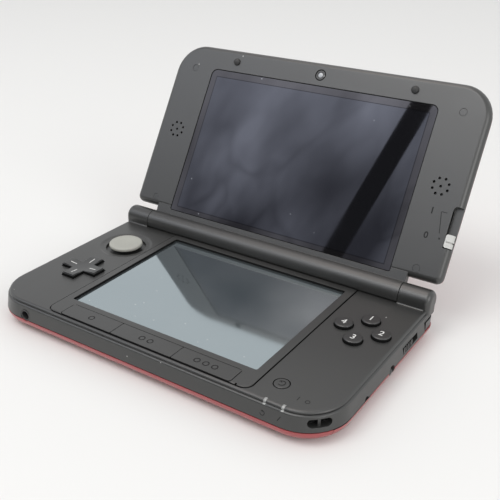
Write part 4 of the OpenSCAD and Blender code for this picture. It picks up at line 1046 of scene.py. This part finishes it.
def power_mark(radius, width, thickness, place):
    """Ring with a gap and a bar in the gap, as a list of pieces on a place."""
    half_gap = 35.0
    ring = make_ring("power_ring", radius, width, thickness, FULL_TURN - 2 * half_gap)
    ring.data.transform(place @ turned_about("Z", 90 + half_gap))
    bar = make_bar("power_bar", radius, width, thickness)
    bar.data.transform(place @ moved_to(0, radius * 0.75, 0) @ turned_about("Z", 90))
    return [ring, bar]


# ---------- marks on the pieces, with painted shade in engraved grooves and painted highlights on the cross pad ---

ENGRAVED_DEPTH = 0.3
FIGURE_AND_HIGHLIGHT_THICKNESS = 0.06
MARK_THICKNESS = 0.05
MARK_LINE = 0.26
FIGURE_AND_HIGHLIGHT_LIFT = 0.01

KEY_RINGS = dict(zip(FRONT_KEYS, (1, 2, 3)))
KEY_RING_Y = -39.65
KEY_RING_STEP = 3.8
POWER_MARK_TURN = 35.0
FACE_FIGURES = {
    "face_button_back": "1",
    "face_button_right": "2",
    "face_button_front": "3",
    "face_button_left": "4",
}
FACE_FIGURE_SIZE = 4.3
# pale bars painted as highlights on the cross pad's arms: distance from the middle, length and width
CROSS_HIGHLIGHT_AT = 5.4
CROSS_HIGHLIGHT_LENGTH = 3.4
CROSS_HIGHLIGHT_WIDTH = 0.36


def top_place(node, lift=0.0):
    """Place on the middle of a node's top, lifted from it a little."""
    x, y, _ = middle_of(node)
    return moved_to(x, y, top_of(node) + lift)


def mark_cutters(node):
    """Cutters of the marks that are engraved in a piece, each half sunk in its top; the faces they cut take
    their dark finish as painted shade in the grooves.
    """
    cutters = []
    if node in KEY_RINGS:
        count = KEY_RINGS[node]
        for index in range(count):
            x = middle_of(node)[0] + (index - (count - 1) / 2) * KEY_RING_STEP
            ring = make_ring("key_ring", radius=1.1, width=0.38, thickness=ENGRAVED_DEPTH)
            ring.data.transform(moved_to(x, KEY_RING_Y, top_of(node)))
            cutters.append(ring)
    if node == "power_button":
        place = top_place(node) @ turned_about("Z", POWER_MARK_TURN)
        cutters = power_mark(radius=1.25, width=0.34, thickness=ENGRAVED_DEPTH, place=place)
    # the cut faces take this finish through the boolean: painted shade in the engraved grooves
    for cutter in cutters:
        cutter.data.materials.append(FINISHES["dark_mark_and_groove_shade"])
    return cutters


def add_button_marks():
    """Plain white figures on the four face buttons, and on each arm of the cross pad a short pale bar
    painted as the highlight on the edge of an engraved mark.
    """
    for node, text in FACE_FIGURES.items():
        figure = make_figure(node + "_figure", text, FACE_FIGURE_SIZE, FIGURE_AND_HIGHLIGHT_THICKNESS, weight=0.0)
        settle(figure, top_place(node, FIGURE_AND_HIGHLIGHT_LIFT), "white_mark_and_painted_highlight", node)
    lean = math.degrees(math.asin(CROSS_HIGHLIGHT_AT / CROSS_DISH_R))
    rise = CROSS_DISH_R - math.sqrt(CROSS_DISH_R ** 2 - CROSS_HIGHLIGHT_AT ** 2)
    for index in range(4):
        arm = moved_to(*CROSS_PAD, CROSS_DISH_Z + rise) @ turned_about("Z", index * 90)
        place = arm @ moved_to(CROSS_HIGHLIGHT_AT, 0, FIGURE_AND_HIGHLIGHT_LIFT) @ turned_about("Y", -lean)
        bar = make_bar(f"cross_pad_painted_highlight_{index + 1}", CROSS_HIGHLIGHT_LENGTH, CROSS_HIGHLIGHT_WIDTH, FIGURE_AND_HIGHLIGHT_THICKNESS)
        settle(bar, place, "white_mark_and_painted_highlight", "cross_pad")


def settle_dark(piece, matrix, body):
    """Settles a dark mark on the housing of the base or the lid."""
    settle(piece, matrix, "dark_mark_and_groove_shade", body)


def wall_place(x, z):
    """Place on the leaning front wall, facing forwards."""
    inset = (z - WALL_FOOT_Z) * math.tan(math.radians(WALL_LEAN))
    return moved_to(x, FRONT_Y + inset, z) @ turned_about("X", 90 - WALL_LEAN)


def add_housing_marks():
    """Small marks beside the power button and on the front wall under the two lights."""
    ring = make_ring("power_side_ring", radius=0.75, width=MARK_LINE, thickness=MARK_THICKNESS)
    settle_dark(ring, moved_to(66.4, -38.2, DECK_Z), "base")
    bar = make_bar("power_side_bar", length=2.0, width=MARK_LINE, thickness=MARK_THICKNESS)
    settle_dark(bar, moved_to(63.0, -38.2, DECK_Z) @ turned_about("Z", 90), "base")
    for piece in power_mark(0.85, MARK_LINE, MARK_THICKNESS, wall_place(54.1, 8.3)):
        settle_dark(piece, Matrix.Identity(4), "base")
    slash = make_bar("wall_bar", length=2.2, width=0.28, thickness=MARK_THICKNESS)
    settle_dark(slash, wall_place(60.4, 8.6) @ turned_about("Z", 60), "base")


def add_lid_marks():
    """Figures 1 and 0 with a wedge beside the slider that sets the depth."""
    for name, text, x, v in (("depth_mark_one", "1", 66.2, 35.0), ("depth_mark_zero", "0", 66.6, 24.9)):
        figure = make_figure(name, text, size=3.7, thickness=MARK_THICKNESS, weight=0.08)
        settle_dark(figure, LID_FRAME @ moved_to(x, v, LID_FACE_Z), "lid")
    low, high = (71.6, 26.8), (69.9, 35.4)
    slope = math.degrees(math.atan2(high[1] - low[1], high[0] - low[0]))
    middle = moved_to((low[0] + high[0]) / 2, (low[1] + high[1]) / 2, LID_FACE_Z)
    wedge = make_bar("depth_wedge", math.dist(low, high), MARK_LINE, MARK_THICKNESS)
    settle_dark(wedge, LID_FRAME @ middle @ turned_about("Z", slope), "lid")
    tick = make_bar("depth_tick", length=2.4, width=MARK_LINE, thickness=MARK_THICKNESS)
    settle_dark(tick, LID_FRAME @ moved_to(71.2, 35.4, LID_FACE_Z), "lid")
    dot = make_ring("depth_dot", radius=0.25, width=0.3, thickness=MARK_THICKNESS)
    settle_dark(dot, LID_FRAME @ moved_to(72.2, 24.8, LID_FACE_Z), "lid")


LENS_RADIUS = 1.45
LENS_FLATNESS = 0.22
LENS_Z = -0.22


def add_camera_lens():
    """Rim, ring and domed lens of the inner camera, in the lid's top rim; the rim is a dark ring of painted
    gap shade round the opening.
    """
    # dark ring at the edge of the camera's opening, painted as the shade of its gap
    rim = make_ring("inner_camera_shade_ring", radius=2.35, width=0.4, thickness=0.24)
    settle(rim, LID_FRAME @ moved_to(0, CAMERA_V, LID_FACE_Z), "painted_gap_shade", "lid")
    ring = make_ring("inner_camera_ring", radius=1.85, width=0.5, thickness=0.16)
    settle(ring, LID_FRAME @ moved_to(0, CAMERA_V, 0.0), "bezel_plastic", "lid")
    bpy.ops.object.select_all(action="DESELECT")
    bpy.ops.mesh.primitive_uv_sphere_add(segments=32, ring_count=16, radius=mm(LENS_RADIUS))
    lens = bpy.context.object
    lens.name = "inner_camera_lens"
    bpy.ops.object.mode_set(mode="EDIT")
    bpy.ops.mesh.select_all(action="SELECT")
    bpy.ops.transform.resize(value=(1, 1, LENS_FLATNESS))
    bpy.ops.object.mode_set(mode="OBJECT")
    smooth_by_angle(lens, 60)
    settle(lens, LID_FRAME @ moved_to(0, CAMERA_V, LENS_Z), "lens_glass", "lid")


add_studio()
finish_nodes()
for shown in ROUNDED:
    round_edges(shown)
add_button_marks()
add_housing_marks()
add_lid_marks()
add_camera_lens()
